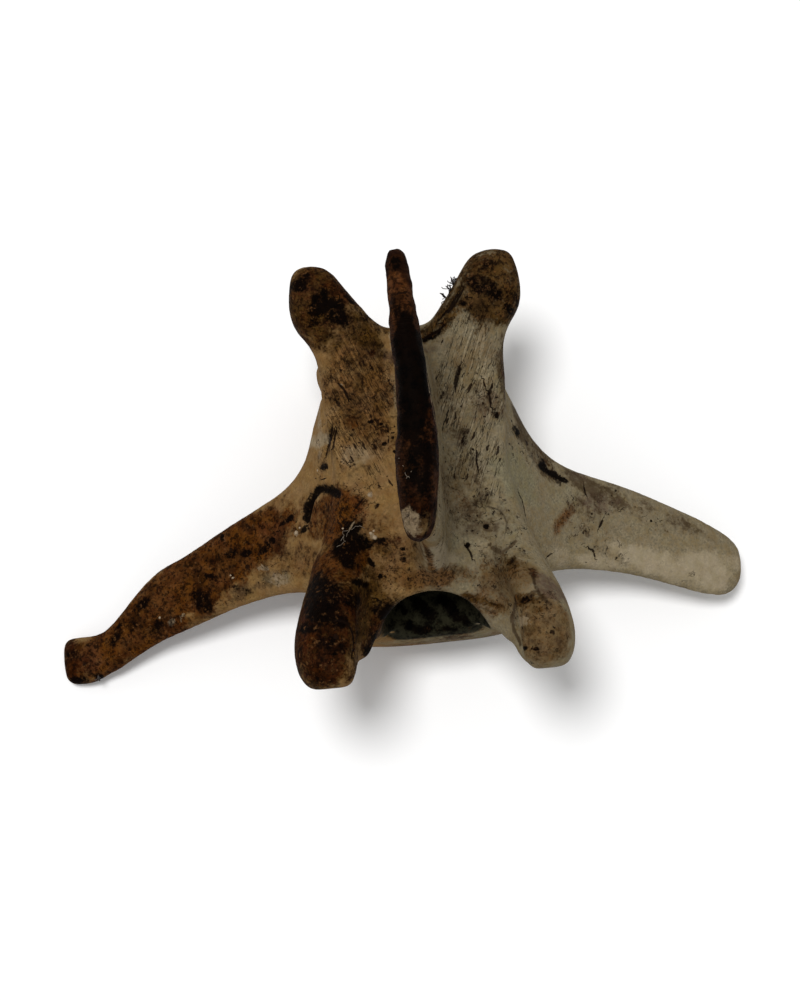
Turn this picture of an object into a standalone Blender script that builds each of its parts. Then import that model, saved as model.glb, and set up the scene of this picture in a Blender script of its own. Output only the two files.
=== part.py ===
"""Lumbar vertebra of a white-tailed deer, life size, as it lies on a table.

The bone lies belly down: +X is its right-hand side in the top view, +Y is its tail end, +Z is up.
All shapes are first placed in the bone's own frame, in millimetres, with X = 0 on its midline,
Y = 0 half way along its body and Z = 0 on the table. At the end the bone is moved so that the
middle of its underside box is the origin. The vertebra is one piece of bone, so it is one solid.
"""

import math

import bmesh
import bpy
from mathutils import Vector

MM = 0.001

# Driving sizes of the bone, in millimetres
BODY_HEAD_END = -20.2
BODY_TAIL_END = 21.0
BODY_HALF_WIDTH_HEAD = 13.1
BODY_HALF_WIDTH_TAIL = 13.3
BODY_HALF_WIDTH_WAIST = 8.5
BODY_TOP = 19.2
BODY_WAIST_RISE = 4.0
CANAL_HALF_WIDTH = 6.8
CANAL_HEIGHT = 9.8
ROOF_TOP = 32.2
ROOF_HALF_WIDTH = 11.8
ROOF_TAIL_EDGE = 21.4
ROOF_HEAD_BAY = -14.3
KNOB_TOP = 41.0
SPINE_TOP = 58.0
SPINE_HALF_THICKNESS = 1.4
WING_HALF_THICKNESS = 1.55
LEFT_WING_REACH = 53.8
RIGHT_WING_REACH = 45.1

# How finely the shapes are cut, and how far the joints between them are rounded
RING_POINTS = 32
STEPS_PER_STATION = 4
VOXEL = 0.55
ROUNDING_PASSES = 14
ROUNDING_SHARE = 0.5
ROUNDING_LOSS = ROUNDING_PASSES * ROUNDING_SHARE * VOXEL**2 / 4
KEPT_SHARE = 0.085
REST_FLAT_DEPTH = 0.35
SLAB_SIZE = 140.0
SLAB_DEPTH = 20.0

LEFT = -1
RIGHT = 1


def clear_scene():
    for thing in list(bpy.data.objects):
        bpy.data.objects.remove(thing, do_unlink=True)


def new_collection(name):
    collection = bpy.data.collections.new(name)
    bpy.context.scene.collection.children.link(collection)
    return collection


def smooth_value(before, start, end, after, share):
    """Catmull-Rom value between start and end."""
    square = share * share
    cube = square * share
    return 0.5 * (
        2 * start
        + (end - before) * share
        + (2 * before - 5 * start + 4 * end - after) * square
        + (3 * start - before - 3 * end + after) * cube
    )


def fill_in(stations):
    """More stations on smooth curves through the ones given."""
    filled = []
    last = len(stations) - 1
    for index in range(last):
        four = [stations[min(max(index + offset, 0), last)] for offset in (-1, 0, 1, 2)]
        for step in range(STEPS_PER_STATION):
            share = step / STEPS_PER_STATION
            filled.append([smooth_value(*values, share) for values in zip(*four)])
    filled.append(list(stations[last]))
    return filled


def outline_point(angle, half_wide, half_high, squareness):
    """A point of a rounded square, or of an ellipse where squareness is 2."""
    power = 2 / squareness
    cosine = math.cos(angle)
    sine = math.sin(angle)
    wide = half_wide * math.copysign(abs(cosine) ** power, cosine)
    high = half_high * math.copysign(abs(sine) ** power, sine)
    return wide, high


def loft(name, axis, stations, squareness, collection):
    """A closed body through rings across one axis.

    Each station is its place along the axis, then from where to where it reaches along each of the
    other two axes, in X Y Z order. Rounding takes most off a thin edge, so each ring is that much larger.
    """
    along_axis, wide_axis, high_axis = {"X": (0, 1, 2), "Y": (1, 0, 2), "Z": (2, 0, 1)}[axis]
    bm = bmesh.new()
    rings = []
    for along, wide_from, wide_to, high_from, high_to in fill_in(stations):
        half_wide = abs(wide_to - wide_from) / 2
        half_high = abs(high_to - high_from) / 2
        extra = min(ROUNDING_LOSS / min(half_wide, half_high), VOXEL)
        ring = []
        for index in range(RING_POINTS):
            angle = math.tau * index / RING_POINTS
            wide, high = outline_point(angle, half_wide + extra, half_high + extra, squareness)
            place = [0.0, 0.0, 0.0]
            place[along_axis] = along * MM
            place[wide_axis] = ((wide_from + wide_to) / 2 + wide) * MM
            place[high_axis] = ((high_from + high_to) / 2 + high) * MM
            ring.append(bm.verts.new(place))
        rings.append(ring)
    for ring, following in zip(rings, rings[1:]):
        for index in range(RING_POINTS):
            after = (index + 1) % RING_POINTS
            bm.faces.new((ring[index], ring[after], following[after], following[index]))
    bm.faces.new(rings[0])
    bm.faces.new(rings[-1])
    bmesh.ops.recalc_face_normals(bm, faces=bm.faces)
    mesh = bpy.data.meshes.new(name)
    bm.to_mesh(mesh)
    bm.free()
    body = bpy.data.objects.new(name, mesh)
    body.hide_render = True
    body.display_type = "WIRE"
    collection.objects.link(body)
    return body


def mirrored(side, stations):
    """Stations of the right side, or the same turned over to the left side."""
    if side == RIGHT:
        return stations
    return [
        (along, -wide_to, -wide_from, high_from, high_to)
        for along, wide_from, wide_to, high_from, high_to in stations
    ]


def vertebral_body(collection):
    """The drum that carries the weight, waisted, with a bulging head end and a hollow tail end."""
    head = BODY_HALF_WIDTH_HEAD
    tail = BODY_HALF_WIDTH_TAIL
    waist = BODY_HALF_WIDTH_WAIST
    top = BODY_TOP
    low = -REST_FLAT_DEPTH
    rise = BODY_WAIST_RISE
    rows = [
        (BODY_HEAD_END, head - 6.5, 5.5, top - 5.5),
        (BODY_HEAD_END + 0.4, head - 2.5, 2.2, top - 2.0),
        (BODY_HEAD_END + 1.3, head - 0.5, low, top - 0.2),
        (BODY_HEAD_END + 3.2, head, low, top),
        (BODY_HEAD_END + 7.2, head - 1.8, rise - 2.4, top),
        (-8.0, waist + 0.9, rise - 0.6, top),
        (0.0, waist, rise, top),
        (8.0, waist + 0.9, rise - 0.5, top),
        (BODY_TAIL_END - 6.6, tail - 1.6, rise - 2.6, top + 0.2),
        (BODY_TAIL_END - 2.6, tail, low, top + 0.5),
        (BODY_TAIL_END, tail - 0.2, low, top + 0.3),
    ]
    return loft("vertebral_body", "Y", [
        (y, -half, half, under, over) for y, half, under, over in rows
    ], 2.35, collection)


def keel(collection):
    """The low ridge along the underside of the body."""
    rise = BODY_WAIST_RISE
    return loft("keel", "Y", [
        (-17.0, -1.6, 1.6, 0.6, 6.0),
        (-8.5, -1.3, 1.3, rise - 1.6, 8.0),
        (0.0, -1.1, 1.1, rise - 1.0, 8.0),
        (8.5, -1.3, 1.3, rise - 1.5, 8.0),
        (17.0, -1.7, 1.7, 0.6, 6.0),
    ], 2.0, collection)


def neural_arch(collection):
    """Walls and roof over the cord in one block, whose underside rises in a notch at the tail end."""
    wide = ROOF_HALF_WIDTH
    top = ROOF_TOP
    rows = [
        (-20.0, wide - 2.6, 20.5, top - 3.4),
        (-16.5, wide - 0.8, 17.8, top - 1.2),
        (-10.0, wide, 17.0, top - 0.1),
        (0.0, wide, 17.0, top),
        (6.0, wide - 0.1, 17.8, top),
        (10.0, wide - 0.2, 20.2, top),
        (13.5, wide - 0.1, 23.8, top),
        (17.5, wide - 0.2, 26.4, top),
        (ROOF_TAIL_EDGE - 1.2, wide - 1.6, 27.6, top - 0.2),
        (ROOF_TAIL_EDGE, wide - 3.8, 28.4, top - 0.8),
    ]
    return loft("neural_arch", "Y", [
        (y, -half, half, under, over) for y, half, under, over in rows
    ], 3.2, collection)


def head_joint_process(side, collection):
    """The thick knob beside the head-end bay. The left one stands out further."""
    more = 1.1 if side == LEFT else 0.0
    inner = 0.9 if side == LEFT else 0.0
    top = KNOB_TOP
    return loft("head_joint_process", "Y", mirrored(side, [
        (1.5, 5.4, 11.8, 22.0, 30.6),
        (-4.0, 6.2, 12.8, 21.5, 31.8),
        (-8.5, 7.4, 14.2 + more, 21.0, 33.6),
        (-12.0, 8.4, 15.3 + more, 21.4, 36.2),
        (-15.0, 9.0, 16.4 + more, 22.6, 38.8),
        (-18.4, 9.4, 17.4 + more, 24.4, top - 0.5),
        (-21.4, 9.5 + inner, 17.7 + more, 26.8, top),
        (-24.4, 9.8 + inner, 17.1 + more, 29.8, top - 0.5),
        (-25.9, 11.0 + inner, 15.8 + more, 33.4, top - 2.4),
    ]), 2.4, collection)


def head_joint_lip(side, collection):
    """The lower, inner lip under the joint face of the head-end process."""
    longer = 0.5 if side == LEFT else 0.0
    inner = 0.4 if side == LEFT else 0.0
    return loft("head_joint_lip", "Y", mirrored(side, [
        (-9.0, 7.4, 12.0, 24.0, 30.0),
        (-14.0, 7.6, 12.6, 24.4, 30.8),
        (-18.5, 8.0 + inner, 13.0, 25.6, 30.8),
        (-21.0 - longer, 8.7 + inner, 13.4, 27.0, 30.4),
        (-22.0 - longer, 9.9 + inner, 12.8, 28.2, 29.8),
    ]), 2.2, collection)


def tail_joint_process(side, collection):
    """The process that flares out at the tail end and ends in a step on its outer side."""
    slimmer = 0.7 if side == LEFT else 0.0
    return loft("tail_joint_process", "Y", mirrored(side, [
        (0.0, 3.6, 11.0, 27.6, 31.4),
        (7.0, 3.6, 11.8, 27.6, 32.2),
        (13.0, 3.4, 12.2, 27.4, 32.8),
        (17.6, 2.9, 12.4, 27.2, 33.5),
        (20.4, 2.7, 13.5, 26.8, 34.4),
        (22.2, 3.7 + slimmer, 14.9, 26.6, 35.2),
        (24.6, 5.6 + slimmer, 15.5, 26.9, 35.9),
        (27.2, 7.5 + slimmer, 15.2, 28.0, 36.0),
        (29.2, 8.9 + slimmer, 14.7, 29.4, 35.3),
        (30.2, 10.4 + slimmer, 14.0, 31.0, 34.2),
    ]), 3.0, collection)


def wing_rows(rows):
    """Stations of a thin plate: place, tail edge, head edge, height of its middle, half thickness."""
    return [
        (place, head_edge, tail_edge, middle - half, middle + half)
        for place, tail_edge, head_edge, middle, half in rows
    ]


def left_wing(collection):
    """The long side wing, with a narrow neck and a squarish end that rests on the table."""
    half = WING_HALF_THICKNESS
    tip = LEFT_WING_REACH
    return loft("left_wing", "X", wing_rows([
        (-6.0, 14.0, -15.0, 20.6, 8.6),
        (-11.4, 15.6, -14.4, 19.8, 8.2),
        (-13.5, 12.0, -13.4, 18.6, 6.6),
        (-15.6, 6.4, -12.3, 17.0, 4.7),
        (-18.5, 3.1, -11.7, 15.1, half + 1.6),
        (-22.5, 1.0, -11.8, 13.1, half + 0.8),
        (-28.0, -1.5, -12.9, 10.8, half + 0.4),
        (-34.0, -4.5, -14.7, 8.5, half + 0.2),
        (-38.8, -6.5, -16.2, 6.6, half + 0.1),
        (-42.8, -10.0, -18.0, 4.9, half),
        (-45.4, -12.5, -19.4, 3.9, half),
        (-47.2, -14.0, -19.9, 3.2, half),
        (-49.2, -14.5, -20.9, 2.4, half),
        (1.5 - tip, -14.3, -21.0, 1.7, half),
        (0.1 - tip, -15.1, -20.2, 1.4, half - 0.2),
    ]), 3.0, collection)


def right_wing(collection):
    """The shorter, broader side wing, with a rounded end that stays clear of the table."""
    half = WING_HALF_THICKNESS
    tip = RIGHT_WING_REACH
    return loft("right_wing", "X", wing_rows([
        (6.0, 15.0, -15.0, 20.6, 8.6),
        (11.2, 15.8, -14.4, 19.8, 8.2),
        (13.2, 12.4, -13.4, 18.6, 6.6),
        (15.6, 7.0, -12.5, 17.0, 4.7),
        (18.5, 3.6, -12.0, 15.1, half + 1.6),
        (22.5, 1.4, -12.3, 13.2, half + 0.8),
        (28.0, -0.6, -13.3, 11.1, half + 0.4),
        (34.0, -3.4, -15.1, 8.9, half + 0.2),
        (39.0, -6.0, -16.9, 7.1, half + 0.1),
        (tip - 2.6, -8.2, -17.2, 5.8, half),
        (tip - 0.7, -10.0, -15.7, 5.2, half - 0.2),
        (tip, -11.4, -14.2, 5.0, half - 0.5),
    ]), 2.8, collection)


def spinous_plate(collection):
    """The upright blade. It leans a little to the left, and its tail edge sweeps out under the crest."""
    half = SPINE_HALF_THICKNESS
    rows = [
        (27.0, 0.3, half + 3.6, -13.4, 19.6),
        (ROOF_TOP, 0.3, half + 1.6, -12.6, 18.8),
        (ROOF_TOP + 3.6, 0.3, half + 0.5, -11.0, 17.2),
        (ROOF_TOP + 8.6, 0.2, half + 0.1, -9.4, 16.4),
        (ROOF_TOP + 14.6, 0.0, half, -8.9, 18.2),
        (SPINE_TOP - 6.0, -0.5, half, -9.0, 20.6),
        (SPINE_TOP - 2.6, -0.8, half, -8.4, 22.6),
    ]
    return loft("spinous_plate", "Z", [
        (z, middle - thick, middle + thick, head_edge, tail_edge)
        for z, middle, thick, head_edge, tail_edge in rows
    ], 3.2, collection)


def spinous_crest(collection):
    """The thick, rough top edge of the blade, widest above its head half and narrow at the tail tip."""
    top = SPINE_TOP
    rows = [
        (-9.7, -1.7, 0.5, top - 5.6, top - 3.4),
        (-8.7, -1.65, 1.2, top - 6.4, top - 1.8),
        (-6.4, -1.4, 1.9, top - 6.8, top - 0.7),
        (-3.2, -1.15, 2.35, top - 6.8, top - 0.2),
        (0.6, -0.9, 2.55, top - 6.6, top),
        (5.2, -0.5, 2.2, top - 6.2, top),
        (10.0, -0.55, 1.85, top - 5.8, top - 0.1),
        (16.0, -0.9, 1.55, top - 5.2, top - 0.3),
        (21.0, -1.0, 1.25, top - 4.8, top - 0.7),
        (24.4, -1.1, 1.2, top - 4.6, top - 1.1),
        (26.0, -1.15, 0.95, top - 4.2, top - 1.6),
        (26.8, -1.15, 0.55, top - 3.6, top - 2.2),
    ]
    return loft("spinous_crest", "Y", [
        (y, middle - half, middle + half, under, over) for y, middle, half, under, over in rows
    ], 2.3, collection)


def canal_cutter(collection):
    """The passage for the spinal cord, right through the arch."""
    wide = CANAL_HALF_WIDTH
    floor = BODY_TOP - 0.2
    roof = floor + CANAL_HEIGHT
    return loft("canal_cutter", "Y", [
        (-32.0, -wide - 0.6, wide + 0.6, floor - 0.2, roof + 1.0),
        (-16.0, -wide - 0.2, wide + 0.2, floor, roof + 0.4),
        (0.0, 0.6 - wide, wide - 0.6, floor - 0.1, roof - 0.3),
        (16.0, -wide, wide, floor + 0.1, roof),
        (34.0, -wide - 0.3, wide + 0.3, floor + 0.1, roof + 0.4),
    ], 2.6, collection)


def roof_bay_cutter(collection):
    """The round bay in the head-end edge of the roof."""
    far = ROOF_HEAD_BAY
    return loft("roof_bay_cutter", "Z", [
        (21.5, -8.6, 7.4, far - 22.0, far - 0.8),
        (31.0, -9.2, 8.0, far - 22.0, far),
        (50.0, -9.2, 8.0, far - 22.0, far),
    ], 2.2, collection)


def joint_face_cutter(side, collection):
    """The hollow joint face on the inner side of a head-end process."""
    return loft("joint_face_cutter", "Y", mirrored(side, [
        (-34.0, 4.6, 11.3, 31.0, 39.6),
        (-22.0, 4.6, 11.1, 31.0, 39.2),
        (-17.0, 5.0, 10.4, 31.4, 38.4),
        (-14.2, 6.2, 9.2, 33.0, 37.0),
    ]), 2.2, collection)


def tail_hollow_cutter(collection):
    """The shallow dish in the tail-end face of the body."""
    middle = (BODY_TOP - REST_FLAT_DEPTH) / 2
    rows = [
        (BODY_TAIL_END - 1.9, 2.5, 1.8),
        (BODY_TAIL_END - 1.4, 6.8, 4.8),
        (BODY_TAIL_END - 0.4, 10.2, 7.0),
        (BODY_TAIL_END + 3.0, 13.4, 9.2),
    ]
    return loft("tail_hollow_cutter", "Y", [
        (y, -half, half, middle - high, middle + high) for y, half, high in rows
    ], 2.2, collection)


def floor_slab(collection):
    """Everything below the table top, which leaves the small flats that the bone rests on."""
    bpy.ops.mesh.primitive_cube_add(size=1.0, location=(0, 0, -SLAB_DEPTH / 2 * MM))
    slab = bpy.context.object
    slab.name = "floor_slab"
    slab.scale = (SLAB_SIZE * MM, SLAB_SIZE * MM, SLAB_DEPTH * MM)
    bpy.ops.object.transform_apply(location=False, rotation=False, scale=True)
    slab.hide_render = True
    slab.display_type = "WIRE"
    for holder in list(slab.users_collection):
        holder.objects.unlink(slab)
    collection.objects.link(slab)


def add_boolean(bone, operation, collection, solver):
    boolean = bone.modifiers.new(operation.lower(), "BOOLEAN")
    boolean.operation = operation
    boolean.operand_type = "COLLECTION"
    boolean.collection = collection
    boolean.solver = solver


def bake_modifiers(bone):
    """Replaces the object's mesh with what its modifiers make of it."""
    graph = bpy.context.evaluated_depsgraph_get()
    shaped = bpy.data.meshes.new_from_object(bone.evaluated_get(graph))
    bone.modifiers.clear()
    bone.data = shaped


def keep_largest_surface(bone):
    """Drops any loose scrap, so that the bone is one closed surface."""
    bm = bmesh.new()
    bm.from_mesh(bone.data)
    unseen = set(bm.verts)
    islands = []
    while unseen:
        front = [unseen.pop()]
        island = set(front)
        while front:
            vertex = front.pop()
            for edge in vertex.link_edges:
                other = edge.other_vert(vertex)
                if other in unseen:
                    unseen.discard(other)
                    island.add(other)
                    front.append(other)
        islands.append(island)
    islands.sort(key=len, reverse=True)
    scraps = [vertex for island in islands[1:] for vertex in island]
    bmesh.ops.delete(bm, geom=scraps, context="VERTS")
    bm.to_mesh(bone.data)
    bm.free()


def fuse(bone, pieces, cutters):
    """Joins the pieces, cuts the openings, and rounds every meeting edge as grown bone is."""
    add_boolean(bone, "UNION", pieces, "MANIFOLD")
    add_boolean(bone, "DIFFERENCE", cutters, "MANIFOLD")
    remesh = bone.modifiers.new("one skin", "REMESH")
    remesh.mode = "VOXEL"
    remesh.voxel_size = VOXEL * MM
    rounding = bone.modifiers.new("rounding", "SMOOTH")
    rounding.factor = ROUNDING_SHARE
    rounding.iterations = ROUNDING_PASSES
    fewer = bone.modifiers.new("fewer faces", "DECIMATE")
    fewer.ratio = KEPT_SHARE
    bake_modifiers(bone)
    keep_largest_surface(bone)


def set_down(bone, table):
    """Cuts the bone off level at the table top, which gives it the small flats that it rests on."""
    add_boolean(bone, "DIFFERENCE", table, "EXACT")
    bake_modifiers(bone)
    keep_largest_surface(bone)


def move_to_origin(bone):
    """Sets the origin in the middle of the underside of the bone's box."""
    corners = [vertex.co for vertex in bone.data.vertices]
    low = Vector([min(corner[axis] for corner in corners) for axis in range(3)])
    high = Vector([max(corner[axis] for corner in corners) for axis in range(3)])
    middle = (low + high) / 2
    for vertex in bone.data.vertices:
        vertex.co -= Vector((middle.x, middle.y, low.z))


def bone_material():
    """Dry, weathered bone, stained by soil."""
    material = bpy.data.materials.new("weathered_bone")
    material.use_nodes = True
    shader = material.node_tree.nodes["Principled BSDF"]
    shader.inputs["Base Color"].default_value = (0.26, 0.19, 0.12, 1.0)
    shader.inputs["Roughness"].default_value = 0.72
    shader.inputs["Metallic"].default_value = 0.0
    return material


def main():
    clear_scene()
    part = new_collection("deer_vertebra")
    pieces = new_collection("pieces")
    cutters = new_collection("cutters")
    table = new_collection("table")

    bone = vertebral_body(part)
    bone.name = "vertebra"
    bone.hide_render = False
    bone.display_type = "TEXTURED"
    for make_piece in (keel, neural_arch, left_wing, right_wing, spinous_plate, spinous_crest):
        make_piece(pieces)
    for make_cutter in (canal_cutter, roof_bay_cutter, tail_hollow_cutter):
        make_cutter(cutters)
    for side in (LEFT, RIGHT):
        head_joint_process(side, pieces)
        head_joint_lip(side, pieces)
        tail_joint_process(side, pieces)
        joint_face_cutter(side, cutters)
    floor_slab(table)

    fuse(bone, pieces, cutters)
    set_down(bone, table)
    for helper in [*pieces.objects, *cutters.objects, *table.objects]:
        bpy.data.objects.remove(helper, do_unlink=True)
    move_to_origin(bone)
    bone.data.materials.clear()
    bone.data.materials.append(bone_material())
    bone.data.shade_smooth()


main()
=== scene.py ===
"""Looks of a dry, soil-stained deer vertebra: its skin, stains and some painted shade and light, sinew and
grit, the table, light and camera.

The marks on the bone are written as places in the part's own frame, in millimetres. The bone's midline
lies at MIDLINE, and its head end points along -Y.
"""

import math

import bmesh
import bpy
import numpy as np
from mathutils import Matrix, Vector, noise


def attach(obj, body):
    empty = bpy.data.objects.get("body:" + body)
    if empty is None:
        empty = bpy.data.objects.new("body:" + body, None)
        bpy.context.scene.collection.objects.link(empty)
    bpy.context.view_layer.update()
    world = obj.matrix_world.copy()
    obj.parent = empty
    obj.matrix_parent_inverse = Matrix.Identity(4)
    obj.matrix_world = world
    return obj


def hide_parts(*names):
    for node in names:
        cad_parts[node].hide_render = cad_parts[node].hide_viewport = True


MM = 0.001

# Where the bone's midline lies in the part's frame, in millimetres
MIDLINE = 4.285

# Where the bone's forms start, in millimetres off the midline or above the table: none of it, and all of it
WING_ROOT = (15.0, 19.0)
BLADE_FOOT, BLADE_SIDE = (36.0, 40.0), (6.0, 5.0)
CREST_START = (52.5, 55.0)

# The canal: half its width and height, how high its middle is, and where its painted dark fades in at each
# end
CANAL_HALF_WIDTH, CANAL_HALF_HEIGHT, CANAL_MIDDLE = 7.3, 7.5, 22.9
CANAL_HEAD_END, CANAL_TAIL_END = (-22.5, -21.9), (20.5, 18.0)

# How much the fibres of the wings lean to the head end, and those of the roof to the sides, per millimetre
WING_LEAN, ROOF_LEAN = 0.38, 0.42

# The skin's grid, which is as fine as 200,000 triangles allow, and the waves and lumps of its relief
SKIN_GRID = 0.405
SMOOTHING_PASSES = 26
WAVE_SIZE, WAVE_DEPTH = 6.0, 0.22
GRAIN_SIZE, GRAIN_DEPTH = 1.1, 0.09
CREST_LUMP_SIZE, CREST_LUMP_DEPTH = 2.2, 0.55

# Camera, matched to the photograph
CAMERA_AZIMUTH, CAMERA_ELEVATION = -5.5, 84.0
CAMERA_PLACE = (-1.813, -33.896, 316.331)
CAMERA_LENS = 77.9

# Studio: light from all round, and one soft lamp, in metres and watts
ROUND_LIGHT = 0.5
LAMP_PLACE, LAMP_SIZE, LAMP_WATTS = (-0.13, 0.15, 1.0), 0.26, 6.8
TABLE_HALF = 3.0
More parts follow.
